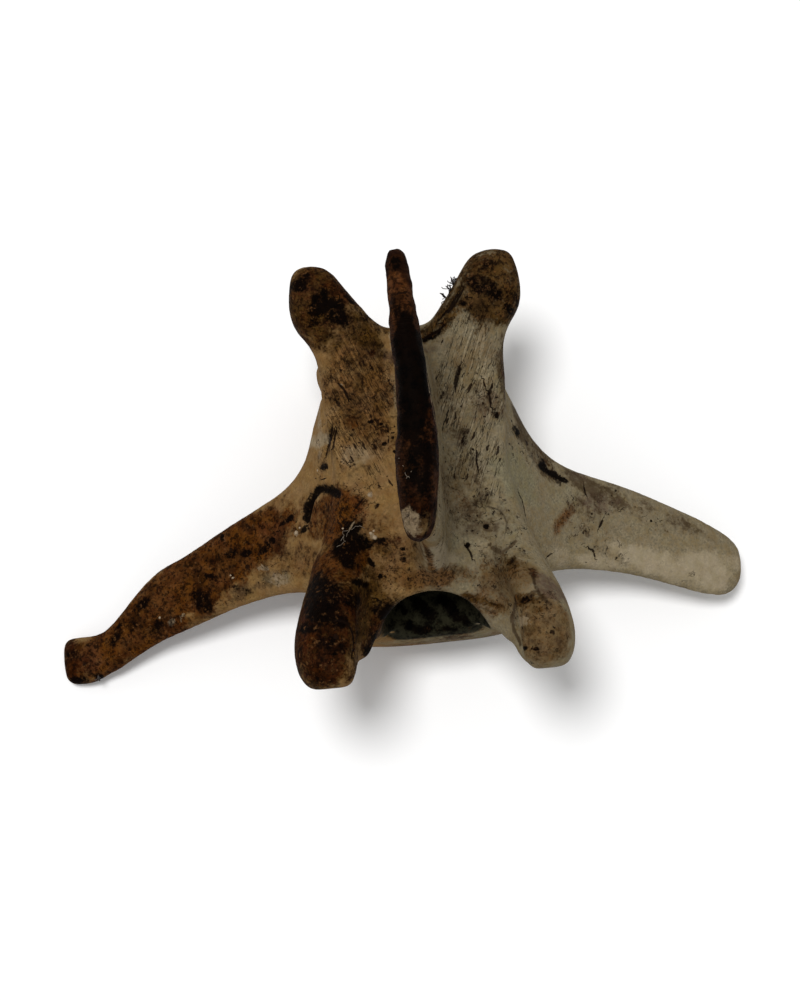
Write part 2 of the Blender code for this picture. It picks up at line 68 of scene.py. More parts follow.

# Stains, with some painted shade and painted light among them: place x y z, length, width, turn in degrees
# from +X, and how much of the place it covers
STAINS = {
    "bleached_and_painted_light": [
        (43.5, -16.1, 8.9, 9.1, 5.7, -31, 1),
        (36.2, -14.1, 11.5, 13.5, 3.7, -24, 0.9),
        (28.2, -13.6, 14.4, 10.6, 2.0, -14, 0.7),
        (22.4, -12.7, 17.9, 4.1, 2.5, -6, 0.5),
        (48.2, -15.0, 7.1, 2.0, 5.7, 74, 0.6),
        (-9.2, 5.9, 24.5, 1.9, 8.2, 75, 0.6),
        (-4.2, 2.4, 32.1, 3.4, 5.3, 75, 0.4),
        (-33.0, -14.4, 9.2, 5.7, 2.0, 20, 0.3),
        # Painted light: this pale patch at the foot of the spine's head end lifts the shade that the spine
        # casts there
        (5.5, -12.4, 37.2, 3.9, 5.2, 90, 0.9),
        (10.2, 8.3, 32.6, 4.0, 7.9, 95, 0.4),
        (10.7, -11.0, 31.9, 2.6, 4.0, 60, 0.3),
        (14.6, -1.3, 31.3, 5.3, 8.0, 110, 0.3),
        (10.9, 15.5, 33.7, 4.5, 7.9, 95, 0.3),
    ],
    "green": [
        (16.8, -2.0, 26.5, 9.4, 8.1, -46, 0.7),
        (13.9, -8.0, 32.5, 5.3, 7.9, -6, 0.4),
        (8.3, -10.9, 32.0, 5.2, 5.2, -5, 0.35),
        (-17.1, -11.6, 16.1, 4.2, 2.2, -5, 0.5),
        (4.3, -22.2, 17.5, 16.7, 1.6, 0, 0.8),
        (23.3, -4.7, 18.0, 5.5, 5.5, -6, 0.4),
    ],
    "dun": [
        (17.2, -23.0, 41.0, 9.7, 8.9, 90, 1.1),
        (13.7, -17.3, 33.2, 7.9, 6.0, 120, 0.75),
        (15.5, -15.4, 37.2, 6.5, 3.9, 150, 0.8),
        (18.8, -18.2, 39.0, 3.8, 7.2, 70, 0.4),
        (10.0, 8.4, 32.6, 7.9, 14.6, 95, 0.3),
        (12.2, 14.7, 33.5, 5.3, 7.9, 95, 0.4),
        (4.1, -13.8, 34.3, 6.5, 5.2, 90, 0.2),
        (7.9, -2.1, 32.6, 5.3, 7.9, 95, 0.4),
        (3.4, -9.6, 56.9, 3.1, 1.6, 75, 0.9),
        (15.2, 18.3, 34.3, 5.3, 3.4, 60, 0.5),
    ],
    "tan": [
        (-0.4, -13.8, 31.9, 7.1, 2.6, -6, 0.54),
        (8.0, -14.8, 31.8, 5.8, 2.4, -16, 0.48),
        (18.0, -20.8, 40.5, 5.1, 7.6, 64, 0.24),
        (13.0, -17.1, 31.4, 7.1, 5.8, -36, 0.18),
        (17.6, -24.6, 41.0, 6.9, 6.9, -5, 0.24),
        (10.2, -18.8, 30.5, 2.4, 7.1, 69, 0.6),
        (8.8, -21.9, 16.8, 4.7, 1.7, 14, 0.45),
        (4.9, -22.3, 12.5, 11.2, 1.1, -4, 0.4),
        (4.0, -14.8, 32.5, 13.1, 2.6, 0, 0.42),
        (8.3, -4.8, 32.3, 4.0, 5.3, 55, 0.3),
        (-2.8, 11.5, 33.1, 15.9, 9.3, 90, 0.75),
        (-3.3, 16.8, 34.0, 6.6, 5.3, 75, 0.5),
        (-2.8, 4.3, 32.4, 7.9, 7.9, 85, 0.2),
        (-4.3, 6.9, 32.6, 2.9, 2.6, 85, 0.4),
        (0.3, -12.0, 32.1, 9.2, 6.6, -6, 0.45),
        (3.3, -14.9, 32.1, 9.2, 3.4, -5, 0.36),
        (10.6, -18.2, 30.8, 7.9, 5.8, 54, 0.33),
        (13.7, -15.1, 35.1, 7.8, 3.4, -26, 0.4),
        (-11.1, -21.8, 40.7, 7.6, 5.1, 75, 0.5),
        (-29.9, -16.2, 9.9, 9.9, 1.7, 23, 0.7),
        (-42.5, -17.3, 5.2, 2.3, 2.6, -6, 0.8),
        (-45.0, -20.0, 4.3, 4.9, 4.9, -6, 0.6),
        (-3.0, -7.7, 31.8, 7.9, 5.8, 15, 0.3),
        (-12.6, -9.8, 20.0, 4.1, 8.2, 75, 0.55),
        (-18.7, -8.3, 15.4, 8.4, 5.6, 10, 0.5),
        (11.9, -22.2, 9.9, 5.7, 4.2, -6, 0.3),
        (3.5, -22.3, 11.0, 14.0, 6.0, 0, 0.45),
        (-11.0, -22.0, 33.0, 12.0, 16.0, 0, 0.5),
        (-2.9, -7.1, 31.8, 4.0, 3.7, 20, 0.2),
        (-0.4, -11.9, 32.0, 5.8, 4.5, 90, 0.6),
        (-5.8, -6.1, 31.8, 5.3, 4.5, 20, 0.5),
        (3.3, -14.9, 32.1, 8.7, 2.4, 0, 0.9),
        (1.9, -12.2, 32.5, 3.4, 4.5, 90, 0.45),
    ],
    "mauve": [
        (19.3, -18.2, 38.7, 2.6, 5.6, 59, 0.7),
        (-1.9, 20.2, 34.7, 5.3, 2.1, -41, 0.4),
        (1.1, 15.3, 32.6, 1.9, 5.8, 75, 0.6),
        (18.4, -17.6, 38.8, 4.4, 2.8, -56, 0.7),
        (28.6, -5.3, 14.8, 4.5, 3.1, -26, 0.6),
        (31.5, -5.2, 13.5, 2.5, 1.0, 5, 0.6),
        (26.8, -1.3, 14.7, 2.5, 1.0, -21, 0.6),
        (13.7, 6.9, 32.5, 5.3, 4.8, 55, 0.4),
        (12.8, 5.8, 32.5, 2.6, 2.6, -5, 0.3),
        (6.9, 15.4, 32.7, 1.3, 2.7, 84, 0.4),
    ],
    "grime_and_shade": [
        (16.5, 11.5, 31.0, 8.5, 2.1, 89, 0.9),
        (18.8, 5.3, 21.8, 7.4, 2.5, 106, 0.95),
        (16.8, 15.3, 30.4, 4.0, 1.9, 89, 0.6),
        (20.3, 1.5, 20.5, 6.9, 2.2, 119, 0.7),
        (17.6, -24.6, 41.0, 7.1, 8.4, 64, 0.25),
        (29.3, -3.8, 14.3, 14.0, 2.5, -31, 0.8),
        (40.6, -8.7, 9.8, 11.4, 1.7, -31, 0.6),
        (27.2, -6.6, 15.6, 6.1, 3.6, -36, 0.6),
        (17.6, -24.0, 41.0, 6.3, 7.6, 64, 0.38),
        (13.0, -16.9, 31.6, 8.4, 5.8, -26, 0.3),
        (10.3, -18.4, 30.7, 2.1, 7.1, 74, 0.45),
        (8.5, -2.2, 32.3, 5.3, 7.9, 74, 0.48),
        (10.0, -7.6, 32.0, 7.9, 5.3, -26, 0.42),
        (8.6, -1.9, 32.2, 9.2, 7.9, 55, 0.36),
        (11.8, -7.1, 31.8, 10.6, 6.1, -36, 0.37),
        (14.7, -12.3, 34.6, 7.3, 2.3, -26, 0.42),
        (13.3, -13.4, 33.8, 6.5, 3.9, -26, 0.4),
        (10.4, 3.4, 32.2, 2.6, 4.5, 69, 0.6),
        (19.8, 3.7, 20.3, 9.6, 2.8, -58, 0.75),
        (22.6, -1.3, 18.3, 4.7, 1.9, -24, 0.7),
        (16.8, -23.2, 40.9, 9.2, 7.1, 74, 0.23),
        (36.4, -6.4, 11.4, 21.2, 5.1, -26, 0.3),
        (28.2, -7.7, 15.1, 8.4, 7.0, 24, 0.35),
        (-4.5, 0.7, 31.9, 7.9, 5.3, 25, 0.17),
        (-0.4, -11.9, 32.0, 7.9, 5.3, -6, 0.25),
        (8.3, 8.6, 32.4, 4.0, 7.9, 74, 0.35),
        (13.8, 8.0, 32.6, 4.5, 6.6, 64, 0.45),
        (-7.3, 6.1, 31.6, 2.7, 8.0, 77, 0.4),
        (-17.4, -7.4, 16.1, 12.5, 4.7, 21, 0.4),
        (12.8, -19.7, 30.5, 4.0, 6.6, 64, 0.2),
        (9.0, -22.0, 8.0, 10.0, 6.0, 0, 0.4),
        (-17.8, -11.8, 15.6, 7.0, 3.1, 25, 0.6),
        (-22.3, -12.9, 13.4, 5.0, 2.2, 20, 0.7),
        (-26.6, -14.9, 11.3, 4.8, 2.0, 25, 0.6),
        (11.4, -7.1, 31.8, 6.6, 6.6, 60, 0.6),
        (-7.7, 3.3, 27.6, 2.1, 5.4, 80, 0.4),
    ],
    "olive": [
        (-0.2, -17.2, 30.9, 1.3, 5.3, 55, 0.5),
        (15.1, -14.0, 35.9, 4.7, 1.6, -31, 0.42),
        (10.0, -18.1, 30.8, 1.1, 6.1, 69, 0.8),
        (7.0, -22.1, 15.8, 6.1, 0.7, -1, 0.6),
        (-3.9, -16.8, 30.9, 4.0, 5.3, 55, 0.9),
        (-8.0, 22.6, 35.9, 13.0, 10.5, 75, 1),
        (-2.2, 18.6, 33.8, 9.0, 3.6, -48, 0.9),
        (16.6, 23.2, 35.9, 12.5, 9.6, 62, 1),
        (18.6, 19.8, 34.0, 5.0, 4.4, 70, 0.9),
        (10.6, 20.6, 34.6, 9.0, 3.0, 47, 0.75),
        (-10.8, -20.0, 39.5, 19.0, 12.0, 76, 1),
        (-7.8, -12.2, 34.0, 8.0, 6.0, 60, 0.85),
        (-4.8, -18.3, 31.6, 9.0, 6.0, 65, 1),
        (-8.0, 22.7, 35.9, 10.0, 7.6, 75, 0.72),
        (-6.1, 17.7, 34.2, 6.9, 3.4, -5, 0.5),
        (-0.1, 20.1, 32.4, 5.3, 3.2, -46, 0.6),
        (16.5, 22.7, 35.9, 10.3, 7.4, 55, 0.74),
        (17.6, 18.6, 33.0, 2.4, 3.5, 64, 0.6),
        (9.4, 19.1, 34.4, 6.6, 2.6, 47, 0.45),
        (-21.7, -6.3, 13.9, 9.8, 2.5, 24, 0.5),
        (-26.9, -7.2, 11.5, 2.8, 2.3, -5, 0.5),
        (-5.3, -4.1, 31.3, 2.6, 2.4, -5, 0.55),
        (-4.7, -11.6, 33.0, 7.9, 5.8, 15, 0.6),
        (-4.8, -18.3, 31.6, 7.1, 3.9, 65, 0.85),
        (-8.8, -11.2, 33.7, 4.7, 4.7, -5, 0.55),
        (-10.5, -24.9, 40.9, 7.1, 6.3, 75, 0.5),
        (14.0, -14.4, 35.4, 7.3, 2.9, -28, 0.3),
        (15.5, -19.2, 39.3, 4.6, 2.0, 4, 0.6),
        (17.4, -20.2, 40.4, 3.1, 1.8, -26, 0.5),
        (-39.5, -19.4, 6.2, 4.9, 2.3, 35, 0.5),
        (21.3, 2.8, 17.2, 8.4, 1.7, -61, 0.35),
        (-10.5, -21.0, 36.0, 15.0, 20.0, 80, 0.52),
        (-4.0, 18.8, 34.7, 4.0, 2.1, -40, 0.8),
        (-5.4, -17.6, 33.3, 2.4, 7.3, 12, 1.1),
        (-4.1, 20.3, 35.3, 3.2, 1.8, -40, 0.8),
    ],
    "rust": [
        (-7.7, -4.9, 30.0, 7.7, 6.6, 35, 1),
        (-2.9, -7.1, 31.8, 4.5, 3.7, 25, 0.25),
        (-6.0, -11.8, 34.1, 7.1, 4.4, 55, 0.95),
        (-9.4, -11.9, 33.9, 4.4, 5.2, 65, 1.1),
        (23.7, -7.5, 17.7, 1.4, 3.6, 52, 0.38),
        (-19.9, -5.9, 14.7, 16.2, 7.0, 23, 1.2),
        (-27.9, -10.5, 11.3, 14.7, 8.5, 30, 1.2),
        (-35.8, -16.0, 7.9, 13.4, 8.5, 37, 1.2),
        (-41.8, -18.1, 5.5, 7.2, 7.2, 25, 1.2),
        (-46.0, -19.8, 4.0, 7.8, 7.8, -6, 0.63),
        (-23.5, -5.6, 13.2, 16.0, 6.0, 24, 1),
        (-29.5, -9.6, 10.8, 14.0, 8.0, 30, 1),
        (-36.5, -15.2, 7.6, 14.0, 9.0, 40, 1),
        (-42.0, -18.6, 5.4, 9.0, 8.0, 36, 1),
        (-46.0, -20.2, 4.0, 8.0, 8.0, 0, 0.44),
        (-8.2, -6.0, 31.0, 7.0, 6.0, 25, 0.95),
        (-20.6, -5.5, 14.4, 15.4, 3.9, 24, 0.8),
        (-26.5, -7.8, 11.8, 8.5, 7.3, 25, 0.9),
        (-32.8, -12.5, 9.3, 11.9, 7.1, 37, 0.9),
        (-39.7, -17.7, 6.3, 7.1, 5.7, 40, 0.7),
        (-45.2, -19.6, 4.2, 6.3, 6.3, 5, 0.33),
        (-7.6, -4.9, 30.2, 6.1, 4.5, 15, 0.85),
        (-5.4, -5.0, 31.6, 3.2, 2.6, -5, 0.5),
        (-3.8, -7.7, 31.9, 4.5, 3.2, 10, 0.23),
        (-8.9, -11.9, 34.3, 6.5, 5.2, 55, 0.6),
        (-10.6, -13.8, 34.8, 3.4, 5.2, 75, 0.6),
        (-4.3, 6.9, 32.6, 1.9, 2.1, 85, 0.5),
        (23.7, -7.5, 17.7, 6.1, 1.8, 49, 0.25),
        (-9.2, 17.9, 31.4, 1.6, 4.0, 55, 0.4),
        (-9.2, -3.7, 25.3, 3.5, 5.4, 80, 0.8),
        (-8.3, -3.3, 27.0, 4.0, 3.2, 30, 0.9),
        (-10.3, -5.9, 23.4, 3.3, 3.5, 80, 0.7),
        (-46.3, -17.8, 3.8, 3.2, 1.4, 0, 0.9),
    ],
    "chestnut": [
        (2.9, 0.5, 58.0, 2.6, 4.1, 90, 0.6),
        (1.6, -3.2, 57.5, 1.7, 3.6, 90, 0.6),
        (3.9, -7.6, 57.4, 1.4, 2.4, 90, 0.5),
        (3.0, 17.5, 57.7, 9.0, 3.6, 98, 1.1),
        (3.3, 13.0, 57.9, 4.1, 2.9, 100, 0.9),
        (4.9, -5.4, 57.1, 4.3, 1.6, 85, 0.6),
        (-45.2, -19.5, 4.2, 4.9, 4.0, 20, 0.9),
        (-16.9, -5.1, 16.4, 6.1, 3.3, 25, 0.65),
        (5.1, 1.1, 57.7, 4.1, 2.0, 80, 0.8),
        (4.2, 3.9, 58.1, 3.1, 2.4, 70, 0.55),
        (2.8, 0.3, 58.0, 2.9, 1.9, 90, 0.5),
        (5.7, -1.6, 56.7, 2.4, 1.0, 85, 0.6),
        (-4.7, 23.7, 35.7, 3.9, 2.1, -50, 0.7),
        (-8.7, 25.0, 35.9, 3.4, 2.4, 60, 0.5),
    ],
    "redbrown": [
        (16.6, 12.5, 30.8, 7.5, 1.1, 89, 0.5),
        (-10.5, -25.2, 40.9, 6.3, 5.8, -6, 0.9),
        (-12.3, -21.7, 40.1, 1.8, 7.6, 75, 0.8),
        (-10.8, -19.6, 39.6, 15.0, 10.0, 76, 0.9),
        (-7.6, 22.6, 35.9, 9.0, 8.0, 75, 0.6),
        (-3.0, -20.4, 29.5, 5.0, 4.0, 50, 0.7),
        (-6.9, 26.4, 35.7, 7.9, 2.9, -6, 0.6),
        (-4.0, 25.1, 34.1, 2.6, 3.2, -56, 0.6),
        (-10.0, 19.6, 33.2, 2.9, 3.2, -6, 0.5),
        (-0.9, 15.6, 33.5, 1.2, 1.1, -6, 0.8),
        (-10.8, -18.2, 39.1, 11.5, 6.7, 73, 0.85),
        (-10.6, -25.4, 40.8, 7.6, 6.6, 75, 0.5),
        (-4.5, -23.0, 28.9, 3.4, 3.4, 44, 0.7),
        (5.1, 0.1, 57.6, 9.6, 2.4, 78, 0.7),
        (3.2, -7.0, 57.8, 7.2, 4.1, 78, 0.6),
        (17.2, -15.7, 37.6, 1.8, 1.2, -36, 0.7),
        (14.2, 24.8, 35.9, 5.3, 3.4, 45, 0.4),
        (0.0, 4.0, 32.2, 2.9, 3.2, 85, 0.45),
        (-1.3, -9.4, 32.0, 5.3, 1.3, 0, 0.45),
        (-47.5, -20.4, 3.7, 3.7, 6.3, 90, 0.5),
        (-5.5, -17.7, 33.5, 2.1, 6.8, 12, 0.3),
        (-4.7, 20.8, 35.5, 3.4, 1.8, -50, 0.8),
        (-2.9, 23.3, 34.3, 2.9, 1.6, -50, 0.8),
        (17.1, 24.8, 35.9, 4.5, 1.8, 60, 0.3),
        (18.2, 21.7, 35.1, 4.5, 1.6, 85, 0.3),
    ],
    "black": [
        (3.6, 9.8, 58.0, 11.6, 3.6, 89, 1.49),
        (3.5, 3.6, 58.1, 7.2, 2.6, 89, 0.94),
        (3.5, -3.4, 58.0, 7.7, 3.6, 89, 0.9),
        (4.0, -7.1, 57.5, 3.6, 2.2, 89, 0.65),
        (-4.5, 20.5, 35.4, 3.9, 2.1, -41, 0.9),
        (-7.2, 22.5, 35.9, 3.9, 2.1, 65, 0.9),
        (-7.6, -1.8, 28.5, 2.0, 1.1, -16, 1),
        (-9.2, -0.9, 25.2, 1.8, 1.1, 5, 1),
        (-10.6, -1.4, 22.9, 1.5, 1.2, 45, 1),
        (-11.5, -2.7, 21.6, 1.8, 1.2, 75, 1),
        (-11.9, -4.2, 21.0, 1.9, 1.2, 90, 1),
        (-6.7, -9.6, 33.1, 3.7, 2.9, 55, 1.2),
        (-5.6, -7.7, 32.4, 3.2, 1.2, 55, 1.1),
        (-4.2, -9.7, 32.3, 2.6, 0.9, -16, 0.8),
        (-10.3, -17.7, 39.0, 5.4, 4.6, 70, 1),
        (-10.7, -14.9, 36.0, 4.9, 3.4, 75, 0.95),
        (-9.4, -22.7, 40.9, 2.5, 3.8, 75, 0.7),
        (-12.7, -20.0, 38.7, 1.5, 6.9, 75, 0.7),
        (-6.4, -17.0, 37.6, 2.1, 3.3, 55, 0.7),
        (-2.2, -18.8, 29.8, 1.2, 4.2, 70, 1),
        (-4.7, -23.5, 28.9, 2.1, 2.6, 55, 0.8),
        (3.9, 6.4, 57.8, 15.0, 4.2, 79, 1.1),
        (4.0, -1.8, 57.8, 13.0, 4.6, 78, 0.65),
        (-10.4, -16.4, 38.2, 6.0, 5.0, 75, 0.75),
        (-6.0, -9.6, 33.2, 5.0, 3.4, 30, 0.9),
        (3.2, 22.2, 57.2, 2.1, 1.8, 75, 0.48),
        (2.5, 16.7, 57.5, 1.7, 2.7, -5, 0.6),
        (3.7, 8.5, 58.0, 10.1, 3.3, 79, 1.1),
        (5.2, 11.9, 56.7, 2.9, 1.7, 84, 0.8),
        (2.4, 4.0, 57.6, 7.2, 1.9, 83, 0.85),
        (5.1, 0.1, 57.6, 4.8, 2.2, 78, 0.43),
        (3.7, -3.2, 58.0, 7.0, 3.6, 76, 0.72),
        (2.3, -6.3, 57.7, 4.8, 2.9, 79, 0.5),
        (5.1, -7.9, 55.3, 2.7, 1.2, 82, 0.6),
        (-9.5, 24.9, 35.7, 2.0, 1.3, -5, 0.9),
        (-7.0, 22.8, 36.0, 3.4, 1.6, 60, 0.9),
        (-4.2, 20.5, 35.4, 3.7, 1.6, -76, 1),
        (-5.1, 22.1, 35.8, 1.3, 1.2, -5, 0.8),
        (-8.0, 20.0, 35.0, 2.4, 1.1, 5, 0.75),
        (-3.0, 22.7, 34.9, 2.1, 0.9, -51, 0.5),
        (-1.0, 19.6, 34.3, 5.8, 1.2, -51, 0.45),
        (-8.4, 26.4, 35.7, 1.1, 0.8, -5, 0.5),
        (15.8, 25.3, 36.0, 2.4, 1.4, 15, 0.75),
        (13.1, 23.5, 35.8, 1.7, 1.4, -5, 0.95),
        (16.0, 21.6, 35.7, 2.9, 1.6, -31, 0.9),
        (13.9, 22.3, 35.9, 2.0, 1.2, -16, 0.8),
        (11.8, 20.7, 35.4, 1.1, 0.9, -5, 0.8),
        (18.0, 19.5, 33.9, 1.3, 2.1, 65, 0.4),
        (7.5, 17.2, 33.0, 2.4, 0.9, 13, 0.9),
        (6.3, 16.8, 32.5, 1.1, 0.8, -5, 0.7),
        (-8.7, 2.0, 26.2, 1.2, 1.1, -5, 0.95),
        (-7.6, 4.8, 30.7, 4.0, 0.7, 73, 0.7),
        (-5.4, -7.8, 32.4, 3.7, 1.4, 55, 0.9),
        (-6.8, -10.5, 33.6, 3.4, 2.9, 15, 1),
        (-3.4, -9.4, 31.9, 4.0, 1.1, 3, 0.75),
        (0.7, -12.0, 32.1, 0.9, 0.7, -5, 0.95),
        (0.7, -10.6, 32.2, 0.8, 0.5, -5, 0.7),
        (-2.5, -13.8, 31.6, 0.7, 0.7, -5, 0.9),
        (-3.5, -12.0, 31.8, 1.6, 0.7, -66, 0.7),
        (-9.1, -15.7, 37.6, 3.9, 2.8, 15, 0.95),
        (-8.6, -19.5, 40.0, 3.8, 1.9, -15, 0.95),
        (-11.2, -17.4, 38.3, 3.9, 2.6, 75, 0.7),
        (-5.2, -14.6, 34.7, 2.9, 1.2, -14, 0.95),
        (-1.9, -18.4, 30.1, 1.6, 2.6, -35, 0.95),
        (-4.5, -22.1, 29.7, 2.9, 1.6, 55, 0.7),
        (-11.1, -21.8, 40.7, 3.1, 1.3, 65, 0.55),
        (-11.2, -26.9, 40.1, 3.8, 1.0, -5, 0.45),
        (-13.6, -25.6, 38.7, 1.5, 3.3, 70, 0.4),
        (10.4, 3.4, 32.2, 1.2, 2.6, -21, 0.55),
        (9.3, -10.9, 32.0, 0.7, 0.8, -6, 1),
        (12.0, -8.7, 31.9, 0.7, 0.8, -6, 0.85),
        (14.9, 5.9, 32.2, 0.5, 0.9, -16, 0.9),
        (11.3, 1.7, 32.1, 0.5, 0.4, -5, 0.8),
        (21.1, 0.0, 19.8, 1.5, 1.4, -6, 1),
        (22.6, -1.2, 18.2, 2.2, 1.2, -26, 0.55),
        (17.7, 4.5, 24.3, 1.9, 1.2, -66, 0.45),
        (24.2, -1.9, 16.9, 1.9, 0.8, -26, 0.35),
        (-24.2, -5.0, 12.3, 0.8, 1.5, -6, 0.7),
        (-23.1, -7.4, 13.3, 2.8, 1.3, 15, 0.7),
        (-20.8, -7.7, 14.4, 1.7, 1.0, 5, 0.7),
        (-26.1, -10.3, 12.0, 1.0, 2.0, 75, 0.75),
        (-18.6, -7.5, 15.5, 1.4, 1.3, -5, 0.75),
        (-17.0, -6.4, 16.4, 1.1, 1.1, -5, 0.85),
        (-15.1, -4.2, 17.7, 1.8, 0.7, 25, 0.9),
        (-14.0, -3.7, 18.6, 1.1, 0.8, 35, 0.95),
        (-12.5, -5.7, 20.3, 1.1, 1.1, -5, 0.7),
        (-28.2, -13.3, 11.1, 3.9, 2.5, -40, 0.8),
        (-27.2, -14.3, 11.3, 1.7, 1.7, -6, 0.6),
        (-34.8, -16.2, 8.3, 2.1, 1.7, -5, 1),
        (-40.9, -16.7, 5.8, 4.9, 1.4, 60, 0.65),
        (-36.9, -13.1, 7.4, 3.7, 1.4, 37, 0.75),
        (-38.4, -15.5, 6.8, 2.3, 2.9, 45, 0.5),
        (-48.0, -18.9, 3.5, 1.3, 5.2, 87, 0.55),
        (-47.3, -22.7, 3.2, 2.9, 1.3, -5, 0.85),
        (-44.2, -22.5, 3.8, 1.3, 1.2, -6, 0.9),
        (-22.0, -12.5, 13.6, 3.6, 0.8, -25, 0.6),
        (15.7, -19.2, 39.4, 1.8, 0.9, 14, 0.55),
        (15.0, -25.3, 39.6, 0.8, 0.6, -5, 0.8),
        (16.4, -25.6, 40.6, 0.8, 0.5, -5, 0.6),
        (30.7, -13.2, 13.6, 0.4, 0.4, -5, 0.7),
        (36.3, -8.3, 11.7, 0.4, 0.4, -6, 0.6),
        (-5.0, 21.0, 35.6, 3.4, 2.4, 60, 1),
        (-9.3, 25.5, 35.8, 3.9, 1.6, 20, 0.8),
        (-6.7, 22.0, 35.8, 2.1, 4.5, 100, 0.9),
        (18.9, 20.8, 33.9, 3.4, 1.6, -30, 0.7),
        (15.3, 22.9, 36.0, 2.4, 1.6, -30, 0.8),
        (0.1, 5.2, 32.2, 0.5, 0.8, 80, 0.9),
        (-0.3, 3.5, 32.2, 0.7, 0.5, 20, 0.8),
        (0.9, 4.2, 32.4, 0.5, 0.5, 0, 0.8),
        (1.0, 2.3, 32.4, 0.5, 0.8, 60, 0.8),
        (-0.5, 6.2, 32.3, 0.5, 0.5, 0, 0.7),
        (-1.8, 6.6, 32.5, 0.5, 0.8, 100, 0.7),
    ],
    "scar_and_highlight": [
        (-3.1, -8.5, 31.8, 0.8, 0.9, -5, 1),
        (-5.7, -7.0, 32.1, 1.6, 0.3, 55, 0.8),
        (-2.8, -3.0, 31.7, 0.7, 0.8, -5, 0.95),
        (-13.4, -5.9, 19.3, 0.7, 1.0, -6, 0.9),
        (-32.6, -16.0, 9.1, 1.1, 1.4, -45, 0.9),
        (-30.8, -15.1, 9.9, 0.7, 0.8, -6, 0.6),
        (14.9, -21.9, 39.2, 1.5, 1.9, 74, 0.55),
        (-18.8, -10.0, 15.3, 1.9, 1.1, -5, 0.5),
        (-16.7, -11.9, 16.2, 2.8, 1.9, -6, 0.5),
        (-5.3, 11.8, 33.0, 0.7, 0.4, -5, 0.8),
        (-9.0, 8.0, 24.1, 1.1, 9.5, -2, 0.6),
        (1.8, -9.3, 56.8, 3.9, 2.0, 115, 0.8),
    ],
    "freckle": [
        (18.8, 5.3, 21.8, 8.2, 3.3, 106, 1),
        (16.5, 11.5, 31.1, 8.0, 2.4, 89, 0.8),
        (17.6, -24.0, 41.0, 6.3, 7.6, 64, 0.8),
        (11.3, -7.7, 31.8, 9.8, 8.4, -6, 1),
        (13.3, -13.6, 33.8, 6.5, 5.2, -6, 0.9),
        (6.2, -3.9, 43.6, 4.3, 8.9, 74, 1),
        (18.0, 2.0, 24.2, 4.1, 8.2, 64, 1),
        (-18.5, -6.1, 15.6, 13.9, 5.6, 24, 0.9),
        (-25.5, -8.7, 12.2, 11.3, 7.0, 25, 0.5),
        (8.6, -1.5, 32.2, 9.2, 7.9, 55, 0.7),
        (11.8, -7.1, 31.8, 11.9, 7.9, -36, 0.7),
        (14.2, 8.0, 32.6, 5.3, 7.9, 69, 0.9),
        (19.8, 3.7, 20.3, 9.6, 3.3, -58, 0.9),
        (9.0, 9.8, 32.6, 5.3, 11.9, 78, 0.5),
        (-3.7, 1.7, 32.1, 11.9, 7.9, 85, 0.6),
        (-2.4, -13.0, 31.7, 7.9, 5.3, -5, 0.7),
        (28.7, -8.5, 14.8, 12.6, 11.2, -6, 0.5),
        (16.8, -23.9, 40.9, 8.9, 7.6, 74, 0.7),
        (-7.4, 4.9, 31.1, 4.0, 8.0, 79, 0.7),
        (14.7, -12.5, 34.8, 7.8, 3.1, -26, 0.8),
        (-9.6, -22.0, 40.8, 7.6, 7.6, 75, 0.4),
        (-45.2, -19.9, 4.2, 7.2, 7.2, -5, 0.5),
        (-35.6, -13.8, 8.1, 11.4, 7.1, 37, 0.5),
        (11.6, -18.3, 30.6, 5.3, 6.6, 54, 0.5),
        (-20.7, -11.4, 14.3, 15.4, 5.6, 20, 0.9),
        (-2.9, 9.6, 32.8, 11.9, 19.8, 95, 0.65),
        (-6.2, -3.3, 30.9, 11.9, 8.0, 30, 0.9),
        (1.4, -14.7, 31.8, 11.8, 5.3, 0, 0.8),
        (17.2, -23.0, 41.0, 9.7, 8.9, 90, 0.8),
        (4.1, -13.8, 34.3, 7.8, 5.2, 90, 0.6),
        (-4.8, 4.5, 32.3, 7.9, 14.5, 95, 0.5),
    ],
    "fibre": [
        (12.9, 16.0, 33.8, 7.9, 7.9, 84, 0.9),
        (10.9, 8.3, 32.7, 9.3, 7.9, 74, 1),
        (14.9, 7.9, 32.4, 9.3, 4.5, 69, 1),
        (12.1, 0.2, 31.9, 10.6, 7.9, 94, 0.7),
        (-1.2, 0.1, 32.0, 7.9, 5.3, 85, 0.5),
        (-3.5, 10.9, 33.0, 17.2, 9.3, 90, 1),
        (11.1, 10.9, 33.0, 15.9, 7.9, 86, 0.7),
        (12.7, 6.8, 32.6, 10.6, 5.3, 79, 0.9),
        (9.6, 20.2, 34.6, 9.2, 2.4, 47, 1),
        (-0.2, 20.2, 32.4, 8.0, 2.4, -51, 0.7),
        (-8.2, 5.5, 26.6, 12.1, 3.5, 75, 1),
        (-7.7, -5.0, 30.0, 6.6, 4.5, 55, 0.8),
        (22.4, -13.0, 17.7, 5.5, 2.8, 44, 0.3),
        (3.1, 17.5, 57.7, 10.9, 3.6, 79, 0.4),
        (-10.7, -16.6, 37.8, 10.3, 3.9, 75, 0.5),
        (11.0, 9.6, 32.8, 7.9, 17.2, 95, 1.1),
        (13.4, 6.7, 32.5, 4.0, 9.3, 95, 1.3),
        (-6.2, 3.3, 31.9, 3.2, 9.3, 80, 1.2),
    ],
}
